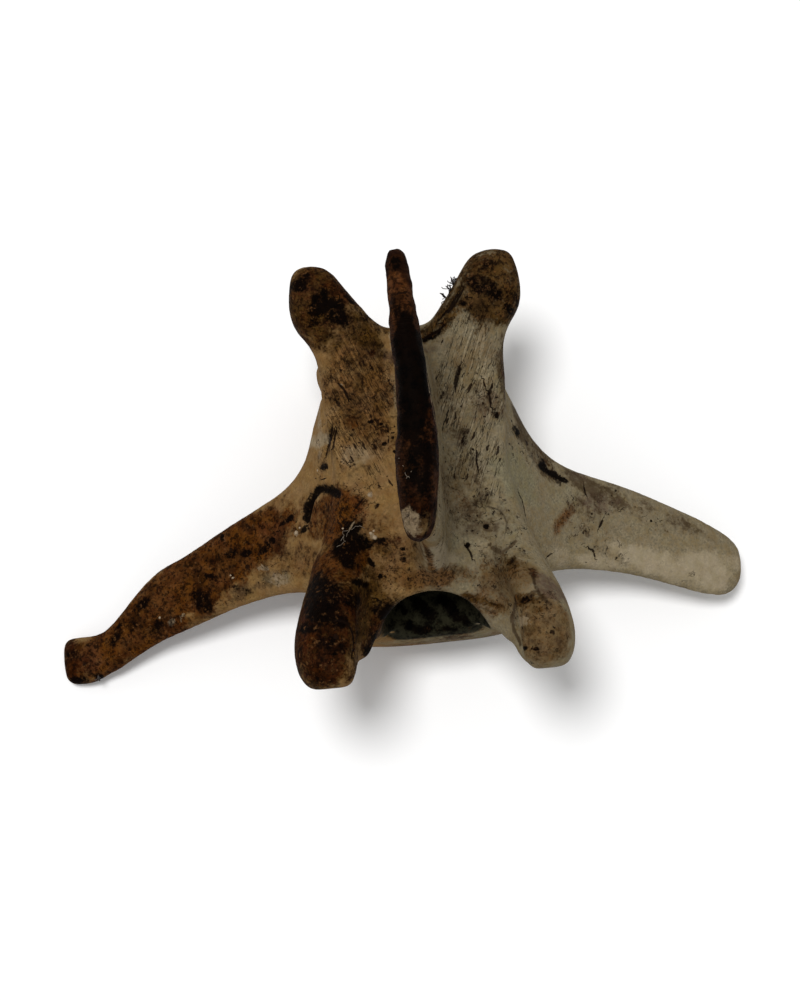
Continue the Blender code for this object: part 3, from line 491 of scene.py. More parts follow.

# Streaks of stain, with some painted shade and painted highlights among them: width, how much of the place it
# covers, and the line that each follows
STREAKS = {
    "black": [
        (1.68, 1.1, [(4.8, -0.8, 57.8), (4.6, -2.8, 57.8), (3.9, -4.7, 57.9)]),
        (1.08, 0.7, [(3.3, -5.3, 57.9), (3.6, -7.6, 57.5), (3.9, -8.7, 57.1)]),
        (1.93, 1.2, [(4.1, 11.4, 57.9), (3.8, 9.4, 58.0), (3.8, 6.9, 58.1), (3.5, 4.1, 58.1)]),
        (0.72, 0.6, [(1.9, 2.3, 57.3), (1.7, -0.1, 57.4)]),
        # Painted shade: a thin dark line round the rounded head end of the spine's crest, where its top turns
        # down into its sides
        (0.36, 0.9, [(0.9, -8.3, 55.5), (1.0, -10.1, 54.3), (1.5, -11.4, 54.3), (2.4, -10.3, 34.3),
                     (2.9, -11.7, 54.6), (3.7, -10.7, 56.0), (4.3, -9.2, 56.3)]),
        (0.93, 1.2, [(-7.2, -2.1, 29.7), (-8.4, -1.3, 26.7), (-9.7, -0.8, 24.5), (-10.3, -1.0, 23.4)]),
        (0.68, 1.2, [(-10.3, -1.0, 23.4), (-10.8, -1.7, 22.6), (-11.3, -2.4, 21.9), (-11.5, -3.3, 21.5),
                     (-11.5, -4.3, 21.6)]),
        (0.41, 0.7, [(-11.5, -4.3, 21.6), (-11.1, -5.4, 22.1)]),
        (1.71, 1.3, [(-5.5, -7.2, 32.2), (-5.9, -8.3, 32.6), (-6.7, -9.3, 33.0), (-6.9, -10.5, 33.6),
                     (-6.5, -11.8, 34.3)]),
        (0.79, 1.2, [(-4.5, -6.7, 32.0), (-5.5, -7.5, 32.3), (-6.4, -8.5, 32.7)]),
        (0.66, 0.9, [(-7.7, -9.7, 33.1), (-6.8, -8.8, 32.8)]),
        (1.37, 1.15, [(2.0, -17.2, 19.1), (3.2, -17.9, 18.9), (4.0, -19.1, 18.9)]),
        (1.10, 1.15, [(0.6, -20.1, 19.2), (1.9, -21.1, 18.7), (3.3, -20.9, 18.8)]),
        (1.37, 1.15, [(5.6, -16.7, 19.0), (6.6, -17.9, 19.0), (7.3, -19.7, 19.1)]),
        (0.96, 1, [(-0.5, -17.3, 19.8), (0.3, -18.2, 19.5)]),
        (0.96, 1, [(8.1, -19.8, 19.3), (8.8, -20.7, 19.3)]),
        (0.82, 1, [(5.5, -20.9, 18.8), (7.1, -21.3, 18.5)]),
        (0.83, 1.1, [(21.3, 0.9, 19.2), (21.4, -0.3, 19.4), (22.2, -0.8, 18.5)]),
        (0.55, 0.7, [(22.5, -1.4, 18.4), (23.5, -2.5, 17.6)]),
        (0.33, 0.6, [(-4.8, 11.9, 33.1), (-4.8, 11.1, 33.0), (-4.5, 10.2, 32.9)]),
        (0.40, 0.6, [(9.9, 11.9, 33.0), (10.3, 12.8, 33.2), (10.6, 13.4, 33.3)]),
    ],
    "redbrown": [
        (2.17, 1.1, [(-48.2, -17.3, 3.1), (-48.1, -19.6, 3.5), (-48.4, -22.7, 2.7)]),
    ],
    "olive": [
        (1.73, 0.85, [(6.3, 17.4, 32.4), (9.8, 20.8, 34.6), (12.5, 24.1, 35.6), (14.3, 26.2, 35.6)]),
        (1.46, 0.9, [(8.3, 20.0, 33.3), (10.1, 22.4, 33.9), (11.9, 24.8, 34.5), (13.8, 27.0, 34.7),
                     (15.9, 27.8, 34.4)]),
        (1.06, 0.8, [(-1.6, 21.8, 33.4), (-0.3, 20.3, 32.7), (1.4, 18.7, 32.4)]),
    ],
    "scar_and_highlight": [
        # Painted highlights: these two pale lines lie along the lit left and right sides of the spine's blade
        (0.40, 0.9, [(1.8, 18.4, 32.3), (1.8, 15.9, 32.5), (1.7, 9.8, 55.8), (1.8, 11.0, 33.0),
                     (1.7, 8.0, 33.1)]),
        (0.38, 0.8, [(5.8, 12.3, 47.6), (5.7, 8.3, 56.1), (5.8, 5.7, 56.5), (6.0, 3.3, 56.0),
                     (6.1, 0.3, 55.5)]),
    ],
    "tan": [
        (1.39, 0.75, [(24.6, -6.0, 17.1), (23.4, -7.3, 17.9), (22.2, -8.9, 18.9)]),
        (1.02, 0.9, [(3.5, -11.1, 40.9), (3.9, -12.3, 37.9), (4.2, -13.9, 34.3)]),
    ],
    "rust": [
        (1.44, 0.9, [(-43.3, -16.2, 4.0), (-39.1, -12.8, 5.6), (-35.4, -10.1, 7.7), (-30.7, -7.7, 9.6),
                     (-25.3, -5.8, 12.0), (-20.8, -4.5, 14.1)]),
        (0.56, 0.4, [(24.3, -6.3, 17.3), (22.7, -8.2, 18.5)]),
    ],
    "grime_and_shade": [
        # Painted shade: the next two streaks are soft dark bands along the ring round the right knob's facet
        (0.51, 1.4, [(17.3, -18.1, 39.4), (15.4, -19.0, 39.2), (14.7, -19.5, 33.3), (14.2, -21.0, 32.0),
                     (14.3, -22.6, 31.8), (15.0, -24.6, 32.7)]),
        (0.45, 1.3, [(17.1, -16.0, 37.8), (17.2, -17.1, 38.8), (17.5, -18.1, 39.4), (18.0, -19.1, 39.8),
                     (18.9, -20.1, 40.1)]),
        (1.29, 0.3, [(15.8, -14.8, 36.7), (13.5, -14.6, 34.6), (11.6, -15.3, 31.3), (10.6, -16.9, 31.1),
                     (10.7, -18.7, 30.5)]),
        # Painted shade: this streak darkens the foot of the spine's head end, where it meets the roof
        (0.46, 0.6, [(2.2, -10.2, 33.5), (3.1, -11.2, 36.9), (3.9, -12.9, 36.1), (4.2, -15.3, 32.0)]),
        (0.46, 1.3, [(12.2, -11.0, 32.0), (12.8, -11.9, 32.8), (13.7, -12.4, 34.0), (14.9, -11.7, 34.3),
                     (15.6, -11.1, 33.9)]),
        (0.53, 0.7, [(-4.5, 0.6, 31.9), (-3.6, 0.9, 32.0), (-2.7, 0.7, 32.0)]),
        (0.66, 0.6, [(16.3, 20.7, 35.4), (17.7, 19.5, 34.1), (18.5, 19.1, 30.2)]),
        (0.66, 0.5, [(-6.6, 1.8, 31.4), (-5.9, 0.6, 31.6), (-5.2, -0.2, 31.7)]),
    ],
}

# Cracks and grooves: width, depth, how dark, and the line that each follows
GROOVES = [
    (0.33, 0.35, 1.00, [(-5.4, 11.8, 33.0), (-5.0, 11.2, 33.0), (-4.7, 10.5, 32.9), (-4.5, 9.9, 32.9)]),
    (0.53, 0.50, 1.00, [(10.6, 12.5, 33.2), (10.3, 11.8, 33.0), (9.9, 10.9, 32.8), (9.8, 10.2, 32.8)]),
    (0.26, 0.25, 1.00, [(8.5, 7.1, 32.3), (8.2, 6.1, 32.4), (7.8, 5.2, 32.7), (7.6, 4.4, 33.0)]),
    (0.26, 0.30, 1.00, [(13.6, 10.5, 32.9), (13.7, 9.9, 32.8)]),
    (0.33, 0.35, 1.00, [(14.2, 9.0, 32.7), (14.3, 8.2, 32.6), (14.3, 7.3, 32.5)]),
    (0.80, 0.55, 0.15, [(-7.1, -2.3, 30.0), (-7.8, -1.4, 27.7), (-8.8, -1.0, 26.0), (-9.8, -1.0, 24.2),
                       (-10.6, -1.6, 22.9), (-11.0, -2.4, 22.3), (-11.4, -3.5, 21.7), (-11.8, -4.5, 21.2)]),
    (0.46, 0.35, 1.00, [(-7.1, 6.4, 31.8), (-7.5, 5.3, 31.0), (-8.0, 4.7, 27.1), (-8.4, 3.5, 26.5)]),
    (0.40, 0.30, 1.00, [(-6.6, 5.9, 32.0), (-7.0, 4.8, 31.6), (-7.4, 3.6, 30.8)]),
    (0.51, 0.35, 1.00, [(-9.0, -19.4, 40.0), (-8.0, -19.5, 39.8), (-7.1, -20.0, 39.5), (-6.6, -20.9, 39.0),
                       (-6.5, -21.9, 38.6), (-6.5, -22.9, 38.4), (-6.9, -24.1, 38.8)]),
    (0.51, 0.30, 0.30, [(18.1, -19.1, 39.8), (17.1, -19.0, 39.8), (15.9, -19.1, 39.5), (14.9, -19.5, 38.7)]),
    (0.51, 0.30, 0.25, [(15.2, -19.9, 39.0), (14.9, -21.0, 38.8), (14.8, -22.1, 38.8), (15.0, -23.4, 39.0)]),
    (0.39, 0.30, 0.35, [(17.1, -16.1, 38.0), (17.2, -17.0, 38.7), (17.4, -17.8, 39.2), (17.7, -18.8, 39.7),
                       (18.4, -19.5, 40.0)]),
    (0.26, 0.20, 1.00, [(-3.2, -16.9, 30.9), (-2.7, -17.2, 30.9), (-2.8, -17.7, 30.8), (-3.3, -17.8, 30.6)]),
    (0.24, 0.20, 1.00, [(17.2, -3.9, 25.8), (17.7, -4.9, 25.0), (17.9, -6.0, 24.7), (17.9, -7.1, 24.7)]),
    (0.24, 0.20, 0.50, [(12.8, -6.1, 31.8), (13.8, -6.5, 32.0), (14.5, -7.3, 32.2), (14.8, -8.4, 32.6),
                       (14.5, -9.5, 33.1)]),
    (0.26, 0.25, 1.00, [(9.2, -11.1, 32.0), (9.6, -11.8, 32.0), (9.8, -12.5, 31.9)]),
    (0.24, 0.20, 1.00, [(11.8, 1.3, 32.0), (11.6, 0.3, 31.9), (11.7, -0.8, 31.8)]),
    (0.28, 0.20, 1.00, [(27.1, -3.1, 15.2), (27.2, -4.0, 15.4)]),
    (0.35, 0.25, 1.00, [(28.7, -8.7, 14.8), (29.2, -7.9, 14.6)]),
    (0.28, 0.20, 1.00, [(26.9, -11.7, 15.5), (27.5, -12.0, 15.2), (27.6, -12.7, 14.9)]),
    (0.27, 0.20, 1.00, [(20.7, -12.6, 19.8), (21.1, -12.3, 19.4)]),
    (0.40, 0.35, 1.00, [(6.4, 17.1, 32.5), (7.4, 17.5, 32.9), (8.2, 17.7, 33.6), (8.9, 18.2, 34.1)]),
    (0.40, 0.30, 1.00, [(9.6, 19.9, 34.5), (10.8, 21.0, 35.1), (11.8, 22.5, 35.5)]),
    (0.33, 0.25, 1.00, [(8.6, 19.3, 34.0), (9.9, 20.6, 34.7), (11.1, 22.2, 35.2)]),
    (0.26, 0.20, 1.00, [(-4.8, -4.4, 31.5), (-4.1, -3.7, 31.5)]),
]

# Dried sinew: where it holds to the bone, and which way its threads point
SINEW = [
    ((10.5, 23.1, 33.4), (-1.0, 0.2, 0.5)),
    ((9.7, 22.2, 33.2), (-1.0, 0.1, 0.4)),
    ((10.9, 23.7, 33.8), (-0.7, 0.7, 0.4)),
    ((11.3, 24.3, 33.2), (-0.8, 0.5, 0.1)),
    ((-44.3, -22.2, 3.9), (0.1, -1.0, -0.1)),
]

# Root hairs: fine pale threads that lie on the dark places
ROOT_HAIRS = [
    ((-7.2, -8.8, 32.8), (0.5, 0.8, 0.0)),
    ((-6.4, -8.3, 32.7), (0.3, 0.9, 0.0)),
    ((-7.8, -9.6, 33.2), (0.8, 0.6, 0.0)),
    ((-5.7, -7.4, 32.4), (0.9, 0.3, 0.0)),
    ((1.1, -1.6, 56.9), (0.7, -0.7, 0.3)),
    ((1.5, -2.6, 57.4), (0.8, -0.5, 0.1)),
    ((1.7, -3.5, 57.7), (0.5, -0.9, 0.1)),
]

# Lime grit: place and radius
GRIT = [
    ((-3.2, -8.1, 31.8), 0.25),
    ((-2.7, -8.7, 31.8), 0.33),
    ((-2.8, -7.8, 31.8), 0.17),
    ((-2.8, -3.0, 31.7), 0.27),
    ((-13.4, -5.9, 19.3), 0.3),
    ((-12.9, -5.3, 19.8), 0.16),
    ((-6.8, -7.1, 31.9), 0.14),
    ((-23.1, -10.8, 13.3), 0.19),
    ((-23.4, -10.4, 13.2), 0.14),
    ((-34.3, -15.1, 8.6), 0.17),
    ((-9.6, 1.8, 24.5), 0.14),
]

# Colours as they look on the table, in sRGB
PALE_BONE, DULL_BONE = "#7c715a", "#655840"
WARM_BONE, WARM_DULL_BONE = "#80643e", "#62492a"

# Each stain, and the painted shade and light that share its kinds: its lighter and darker tone, how much it
# hides, where its edge starts and ends, how ragged it is
STAIN_LOOKS = [
    ("bleached_and_painted_light", "#978a72", "#7f735b", 1.0, 0.05, 0.95, 1.4),
    ("green", "#747059", "#646048", 0.6, 0.15, 0.85, 2.4),
    ("crest", "#2f190b", "#120704", 1.0, 0.3, 0.7, 1.2),
    ("dun", "#6c5637", "#4c3a22", 0.85, 0.05, 0.95, 3.0),
    ("tan", "#6b4a28", "#4a3217", 0.9, 0.05, 0.9, 3.2),
    ("mauve", "#564539", "#403128", 0.85, 0.1, 0.85, 3.2),
    ("grime_and_shade", "#443423", "#271c10", 0.8, 0.15, 0.95, 5.0),
    ("olive", "#513815", "#2b1b07", 0.95, 0.05, 0.9, 4.0),
    ("rust", "#5b3510", "#341804", 0.97, 0.0, 0.95, 3.4),
    ("chestnut", "#5c371b", "#351b09", 0.95, 0.1, 0.95, 3.6),
    ("redbrown", "#3b1a07", "#1c0901", 0.95, 0.1, 0.95, 4.0),
    ("halo", "#3a2210", "#211106", 0.75, 0.15, 0.95, 4.5),
    ("canal", "#2d2b1e", "#080704", 1.0, 0.1, 0.9, 2.0),
    ("black", "#070301", "#010101", 0.98, 0.1, 0.9, 4.6),
    ("scar_and_highlight", "#8d7b62", "#655641", 0.85, 0.25, 0.85, 4.4),
]
# Kinds whose marks under this size, in millimetres, are specks with an outline of their own
SPECKLED, SPECK_SIZE = ("black", "scar_and_highlight"), 2.3
# Kinds that hold dark soil grains
SOILED = ("tan", "olive", "rust", "chestnut", "redbrown")
SOIL_BLACK, WORN_BROWN = "#0a0402", "#664526"
PORE_BROWN, CRACK_BROWN = "#160c07", "#120a06"

# Fibres and the short tears between them: how far apart and how long, in millimetres. Real fibres are finer
# than a dot of the picture, so these are drawn as coarse as they need to show.
FIBRE_APART, FIBRE_LONG = 0.45, 4.5
TEAR_APART, TEAR_LONG = 0.75, 2.6

# What eats into the edge of a stain: clouds, each with its size in millimetres, detail and bite, and specks.
# More detail would be finer than a dot of the picture, and would only slow the render.
EDGE_CLOUDS = ((2.4, 3.0, 0.3253), (0.7, 2.0, 0.3282))
EDGE_SPECKS = 0.25

# Nodes of the materials and of the geometry trees
MATH, VECTOR, RAMP, MIX = "ShaderNodeMath", "ShaderNodeVectorMath", "ShaderNodeMapRange", "ShaderNodeMix"
NOISE, CELLS, READ = "ShaderNodeTexNoise", "ShaderNodeTexVoronoi", "ShaderNodeAttribute"
SMOOTH = {"interpolation_type": "SMOOTHSTEP"}
COLOURS = {"data_type": "RGBA"}


def colour(code):
    """An sRGB hex colour as the linear values that shaders take."""
    parts = [int(code[i : i + 2], 16) / 255 for i in (1, 3, 5)]
    return (*[c / 12.92 if c <= 0.04045 else ((c + 0.055) / 1.055) ** 2.4 for c in parts], 1.0)


def add(tree, kind, values=None, out=0):
    """A node with its settings and links. It gives back one of its outputs, or the node if it has none."""
    node = tree.nodes.new(kind)
    for key, value in (values or {}).items():
        if isinstance(value, bpy.types.NodeSocket):
            tree.links.new(value, node.inputs[key])
        elif isinstance(key, str) and hasattr(node, key):
            setattr(node, key, value)
        else:
            node.inputs[key].default_value = value
    return node.outputs[out] if len(node.outputs) else node


def step(values, start, end):
    """0 before start, 1 after end and smooth between them; start may be the larger."""
    share = np.clip((values - start) / (end - start), 0, 1)
    return share * share * (3 - 2 * share)


def noise_at(points, size, seed=0.0):
    """Perlin noise of the given grain size at each point, about -1 to 1."""
    shift = Vector((seed, seed * 1.7, seed * 2.3))
    return np.array([noise.noise(Vector(p) / size + shift) for p in points])


def off_mark(points, mark):
    """How far each point is off a mark: along and across it in half sizes, and above it in millimetres."""
    x, y, z, long, wide, turn, _ = mark
    away = points - (x, y, z)
    cosine, sine = math.cos(math.radians(turn)), math.sin(math.radians(turn))
    along = (away[:, 0] * cosine + away[:, 1] * sine) / (long / 2)
    across = (away[:, 1] * cosine - away[:, 0] * sine) / (wide / 2)
    return along, across, away[:, 2]


def patch(points, mark, wobble, fade=1.35):
    """How much of each point one stain covers. It fades out at fade times the mark's half size."""
    along, across, above = off_mark(points, mark)
    long, wide, strength = mark[3], mark[4], mark[6]
    # A large stain reaches farther down over the edges
    deep = above / min(3.0 + 0.6 * max(long, wide), 9.0)
    reach = np.sqrt(along**2 + across**2 + deep**2)
    return strength * step(reach + wobble, fade, 0.6)


def nearest_speck(points, specks):
    """From each point to the nearest speck, along and across it and in depth, in half sizes of that speck."""
    best = np.full((len(points), 3), 9.0)
    for speck in specks:
        along, across, above = off_mark(points, speck)
        here = np.stack((along, across, above / 3.0), axis=1)
        closer = (here**2).sum(1) < (best**2).sum(1)
        best[closer] = here[closer]
    # Far from all specks one value holds. Opposite ones would meet at 0 between two points and draw a line.
    best[(best**2).sum(1) > 9.0] = 9.0
    return best


def line_distance(points, line):
    """Distance from each point to a line through several places, and the side of it that the point is on."""
    nearest, side = np.full(len(points), 1e9), np.ones(len(points))
    for start, end in zip(line, line[1:]):
        start, end = np.array(start), np.array(end)
        way = end - start
        share = np.clip((points - start) @ way / (way @ way), 0, 1)
        distance = np.linalg.norm(points - start - share[:, None] * way, axis=1)
        closer = distance < nearest
        cross = way[0] * (points[:, 1] - start[1]) - way[1] * (points[:, 0] - start[0])
        nearest = np.where(closer, distance, nearest)
        side = np.where(closer, np.where(cross < 0, -1.0, 1.0), side)
    return nearest, side


def plain_mesh(piece, name):
    """A plain mesh of what the piece's modifiers make, which are then gone."""
    graph = bpy.context.evaluated_depsgraph_get()
    mesh = bpy.data.meshes.new_from_object(piece.evaluated_get(graph))
    piece.modifiers.clear()
    piece.data = mesh
    mesh.name = name


def fine_copy(node):
    """A copy of the bone's solid with fine, even faces and its facets smoothed away."""
    mesh = node.data.copy()
    bm = bmesh.new()
    bm.from_mesh(mesh)
    bmesh.ops.remove_doubles(bm, verts=bm.verts, dist=1e-6)
    bm.to_mesh(mesh)
    bm.free()
    mesh.materials.clear()
    skin = bpy.data.objects.new("bone_skin", mesh)
    bpy.context.scene.collection.objects.link(skin)
    remesh = skin.modifiers.new("even faces", "REMESH")
    remesh.mode = "VOXEL"
    remesh.voxel_size = SKIN_GRID * MM
    smooth = skin.modifiers.new("no facets", "SMOOTH")
    smooth.factor = 0.5
    smooth.iterations = SMOOTHING_PASSES
    plain_mesh(skin, "bone_skin")
    return skin


def read_points(mesh):
    """Every point of a mesh in millimetres, and the way that the surface faces there."""
    points = np.empty(len(mesh.vertices) * 3, np.float32)
    mesh.vertices.foreach_get("co", points)
    normals = np.empty(len(mesh.vertices) * 3, np.float32)
    mesh.vertices.foreach_get("normal", normals)
    return points.reshape(-1, 3).astype(float) / MM, normals.reshape(-1, 3).astype(float)


def write_attribute(mesh, name, values):
    """Keeps one number for every point, for the nodes to read."""
    made = mesh.attributes.new(name, "FLOAT", "POINT")
    made.data.foreach_set("value", values.astype(np.float32))


def write_vectors(mesh, name, values):
    """Keeps one vector for every point, for the nodes to read."""
    made = mesh.attributes.new(name, "FLOAT_VECTOR", "POINT")
    made.data.foreach_set("vector", values.astype(np.float32).ravel())


def mark_skin(mesh):
    """Writes how much of each stain, painted shade and light, crack and rough place every point of the skin
    has.
    """
    points, normals = read_points(mesh)
    wobble = 0.3 * noise_at(points, 2.6) + 0.18 * noise_at(points, 0.9, 5.0)
    broad = noise_at(points, 11.0, 9.0)
    side = points[:, 0] - MIDLINE
    wing = step(np.abs(side), *WING_ROOT)
    blade = step(points[:, 2], *BLADE_FOOT) * step(np.abs(side), *BLADE_SIDE)

    for name, marks in STAINS.items():
        covered = np.zeros(len(points))
        specks = [mark for mark in marks if name in SPECKLED and max(mark[3], mark[4]) < SPECK_SIZE]
        for mark in marks:
            if mark not in specks:
                covered = np.maximum(covered, patch(points, mark, wobble))
        for wide, strength, line in STREAKS.get(name, ()):
            distance, _ = line_distance(points, line)
            covered = np.maximum(covered, strength * step(distance / (wide / 2) + 0.7 * wobble, 2.1, 0.1))
        if specks:
            write_vectors(mesh, name + "_specks", nearest_speck(points, specks))
        if name == "black":
            around = [0.6 * patch(points, mark, wobble, 2.2) for mark in marks]
            write_attribute(mesh, "halo", np.maximum.reduce([*around, 0.7 * covered]))
        if name == "fibre":
            on_blade = 0.5 * blade * step(np.abs(normals[:, 0]), 0.5, 0.85)
            covered = np.maximum(covered * step(np.abs(normals[:, 2]), 0.35, 0.75), on_blade)
        if name in ("grime_and_shade", "freckle"):
            # Faces that turn downwards get patches of the dark brown tone, and more pores and cracks: darker
            # underneath
            darker_facing_down = 0.45 * step(-normals[:, 2], -0.2, 0.6) * step(broad, -0.3, 0.5)
            covered = np.maximum(covered, darker_facing_down)
        if name == "rust":
            under = 0.75 * step(-normals[:, 2], 0.0, 0.6) * step(-side, 12.0, 22.0) * step(broad, -0.5, 0.3)
            covered = np.maximum(covered, under)
        write_attribute(mesh, name, covered)

    warm = step(-side + 2.4 * noise_at(points, 7.0, 3.0), -1.5, 3.0)
    write_attribute(mesh, "warm", warm)

    # Inside the canal the bone is painted dark, on the faces that turn into the hollow; the dark fades out
    # raggedly round its mouth
    off_middle = (points[:, 2] - CANAL_MIDDLE) / CANAL_HALF_HEIGHT
    arch = np.abs(side / CANAL_HALF_WIDTH) ** 3 + np.abs(off_middle) ** 3
    between_ends = step(points[:, 1], *CANAL_HEAD_END) * step(points[:, 1], *CANAL_TAIL_END)
    in_canal = step(arch + 0.5 * wobble, 1.4, 0.7) * between_ends
    inward = np.maximum(-normals[:, 0] * np.sign(side), np.abs(normals[:, 2]))
    write_attribute(mesh, "canal", in_canal * step(inward, 0.1, 0.4))

    # Cracks: how far off the nearest one, in half widths with a sign, so that it stays sharp between points
    nearest, crack, dirt = np.full(len(points), 1e9), np.full(len(points), 9.0), np.zeros(len(points))
    carved = np.zeros(len(points))
    for wide, deep, dark, line in GROOVES:
        distance, hand = line_distance(points, line)
        closer = distance < nearest
        nearest = np.where(closer, distance, nearest)
        crack = np.where(closer, hand * distance / (wide / 2), crack)
        dirt = np.where(closer, dark, dirt)
        carved = np.minimum(carved, -deep * np.exp(-((distance / max(wide * 0.6, 0.3)) ** 2)))
    write_attribute(mesh, "crack", np.clip(crack, -9.0, 9.0))
    write_attribute(mesh, "by_crack", step(nearest, 1.1, 0.7) * dirt)
    write_attribute(mesh, "carved", carved * MM)
    write_attribute(mesh, "crest", step(points[:, 2], *CREST_START))

    # Fibres fan out from the foot of the spine over the roof, and run along the wings and up the spine
    on_roof = np.abs(side) - ROOF_LEAN * points[:, 1]
    across = np.where(wing > 0.5, points[:, 1] + WING_LEAN * np.abs(side), on_roof)
    write_attribute(mesh, "across", np.where(blade > 0.5, points[:, 1], across))
    along = np.where(wing > 0.5, np.abs(side), points[:, 1])
    write_attribute(mesh, "along", np.where(blade > 0.5, points[:, 2], along))


def new_tree(name, taken, sizes, made):
    """An empty geometry tree with named sizes as inputs, and the socket and value of each size."""
    tree = bpy.data.node_groups.new(name, "GeometryNodeTree")
    tree.interface.new_socket(taken, in_out="INPUT", socket_type="NodeSocketGeometry")
    found = []
    for label, value in sizes:
        kind = "NodeSocketInt" if isinstance(value, int) else "NodeSocketFloat"
        socket = tree.interface.new_socket(label, in_out="INPUT", socket_type=kind)
        socket.default_value = value
        found.append((socket.identifier, value))
    tree.interface.new_socket(made, in_out="OUTPUT", socket_type="NodeSocketGeometry")
    return tree, found


def relief_tree(material):
    """Geometry nodes that press the worn, pitted relief of old bone into a skin."""
    tree, sizes = new_tree("weathered bone relief", "Skin", [
        ("Wave size mm", WAVE_SIZE), ("Wave depth mm", WAVE_DEPTH),
        ("Grain size mm", GRAIN_SIZE), ("Grain depth mm", GRAIN_DEPTH),
        ("Crest lump size mm", CREST_LUMP_SIZE), ("Crest lump depth mm", CREST_LUMP_DEPTH),
    ], "Skin")
    inputs = add(tree, "NodeGroupInput").node.outputs
    place = add(tree, "GeometryNodeInputPosition")
    place_mm = add(tree, VECTOR, {"operation": "SCALE", 0: place, "Scale": 1 / MM})

    carved = add(tree, "GeometryNodeInputNamedAttribute", {"data_type": "FLOAT", "Name": "carved"})
    crest = add(tree, "GeometryNodeInputNamedAttribute", {"data_type": "FLOAT", "Name": "crest"})
    total = carved
    for name, detail, where in (("Wave", 2.0, 1.0), ("Grain", 3.0, 1.0), ("Crest lump", 3.0, crest)):
        scale = add(tree, MATH, {"operation": "DIVIDE", 0: 1.0, 1: inputs[name + " size mm"]})
        pattern = add(tree, NOISE, {"Vector": place_mm, "Scale": scale, "Detail": detail})
        centred = add(tree, MATH, {"operation": "SUBTRACT", 0: pattern, 1: 0.5})
        deep = add(tree, MATH, {"operation": "MULTIPLY", 0: inputs[name + " depth mm"], 1: MM})
        deep = add(tree, MATH, {"operation": "MULTIPLY", 0: deep, 1: where})
        total = add(tree, MATH, {"operation": "MULTIPLY_ADD", 0: centred, 1: deep, 2: total})
    normal = add(tree, "GeometryNodeInputNormal")
    offset = add(tree, VECTOR, {"operation": "SCALE", 0: normal, "Scale": total})
    moved = add(tree, "GeometryNodeSetPosition", {"Geometry": inputs["Skin"], "Offset": offset})
    # No point sinks into the table
    above = add(tree, VECTOR, {"operation": "MAXIMUM", 0: place, 1: (-1.0, -1.0, 0.0)})
    set_down = add(tree, "GeometryNodeSetPosition", {"Geometry": moved, "Position": above})
    real = add(tree, "GeometryNodeRealizeInstances", {"Geometry": set_down})
    coated = add(tree, "GeometryNodeSetMaterial", {"Material": material, "Geometry": real})
    add(tree, "NodeGroupOutput", {"Skin": coated})
    return tree, sizes


def give_tree(piece, tree, sizes):
    """Lets a tree work on a piece, with each size set by its socket's identifier."""
    modifier = piece.modifiers.new(tree.name, "NODES")
    modifier.node_group = tree
    for identifier, value in sizes:
        modifier[identifier] = value


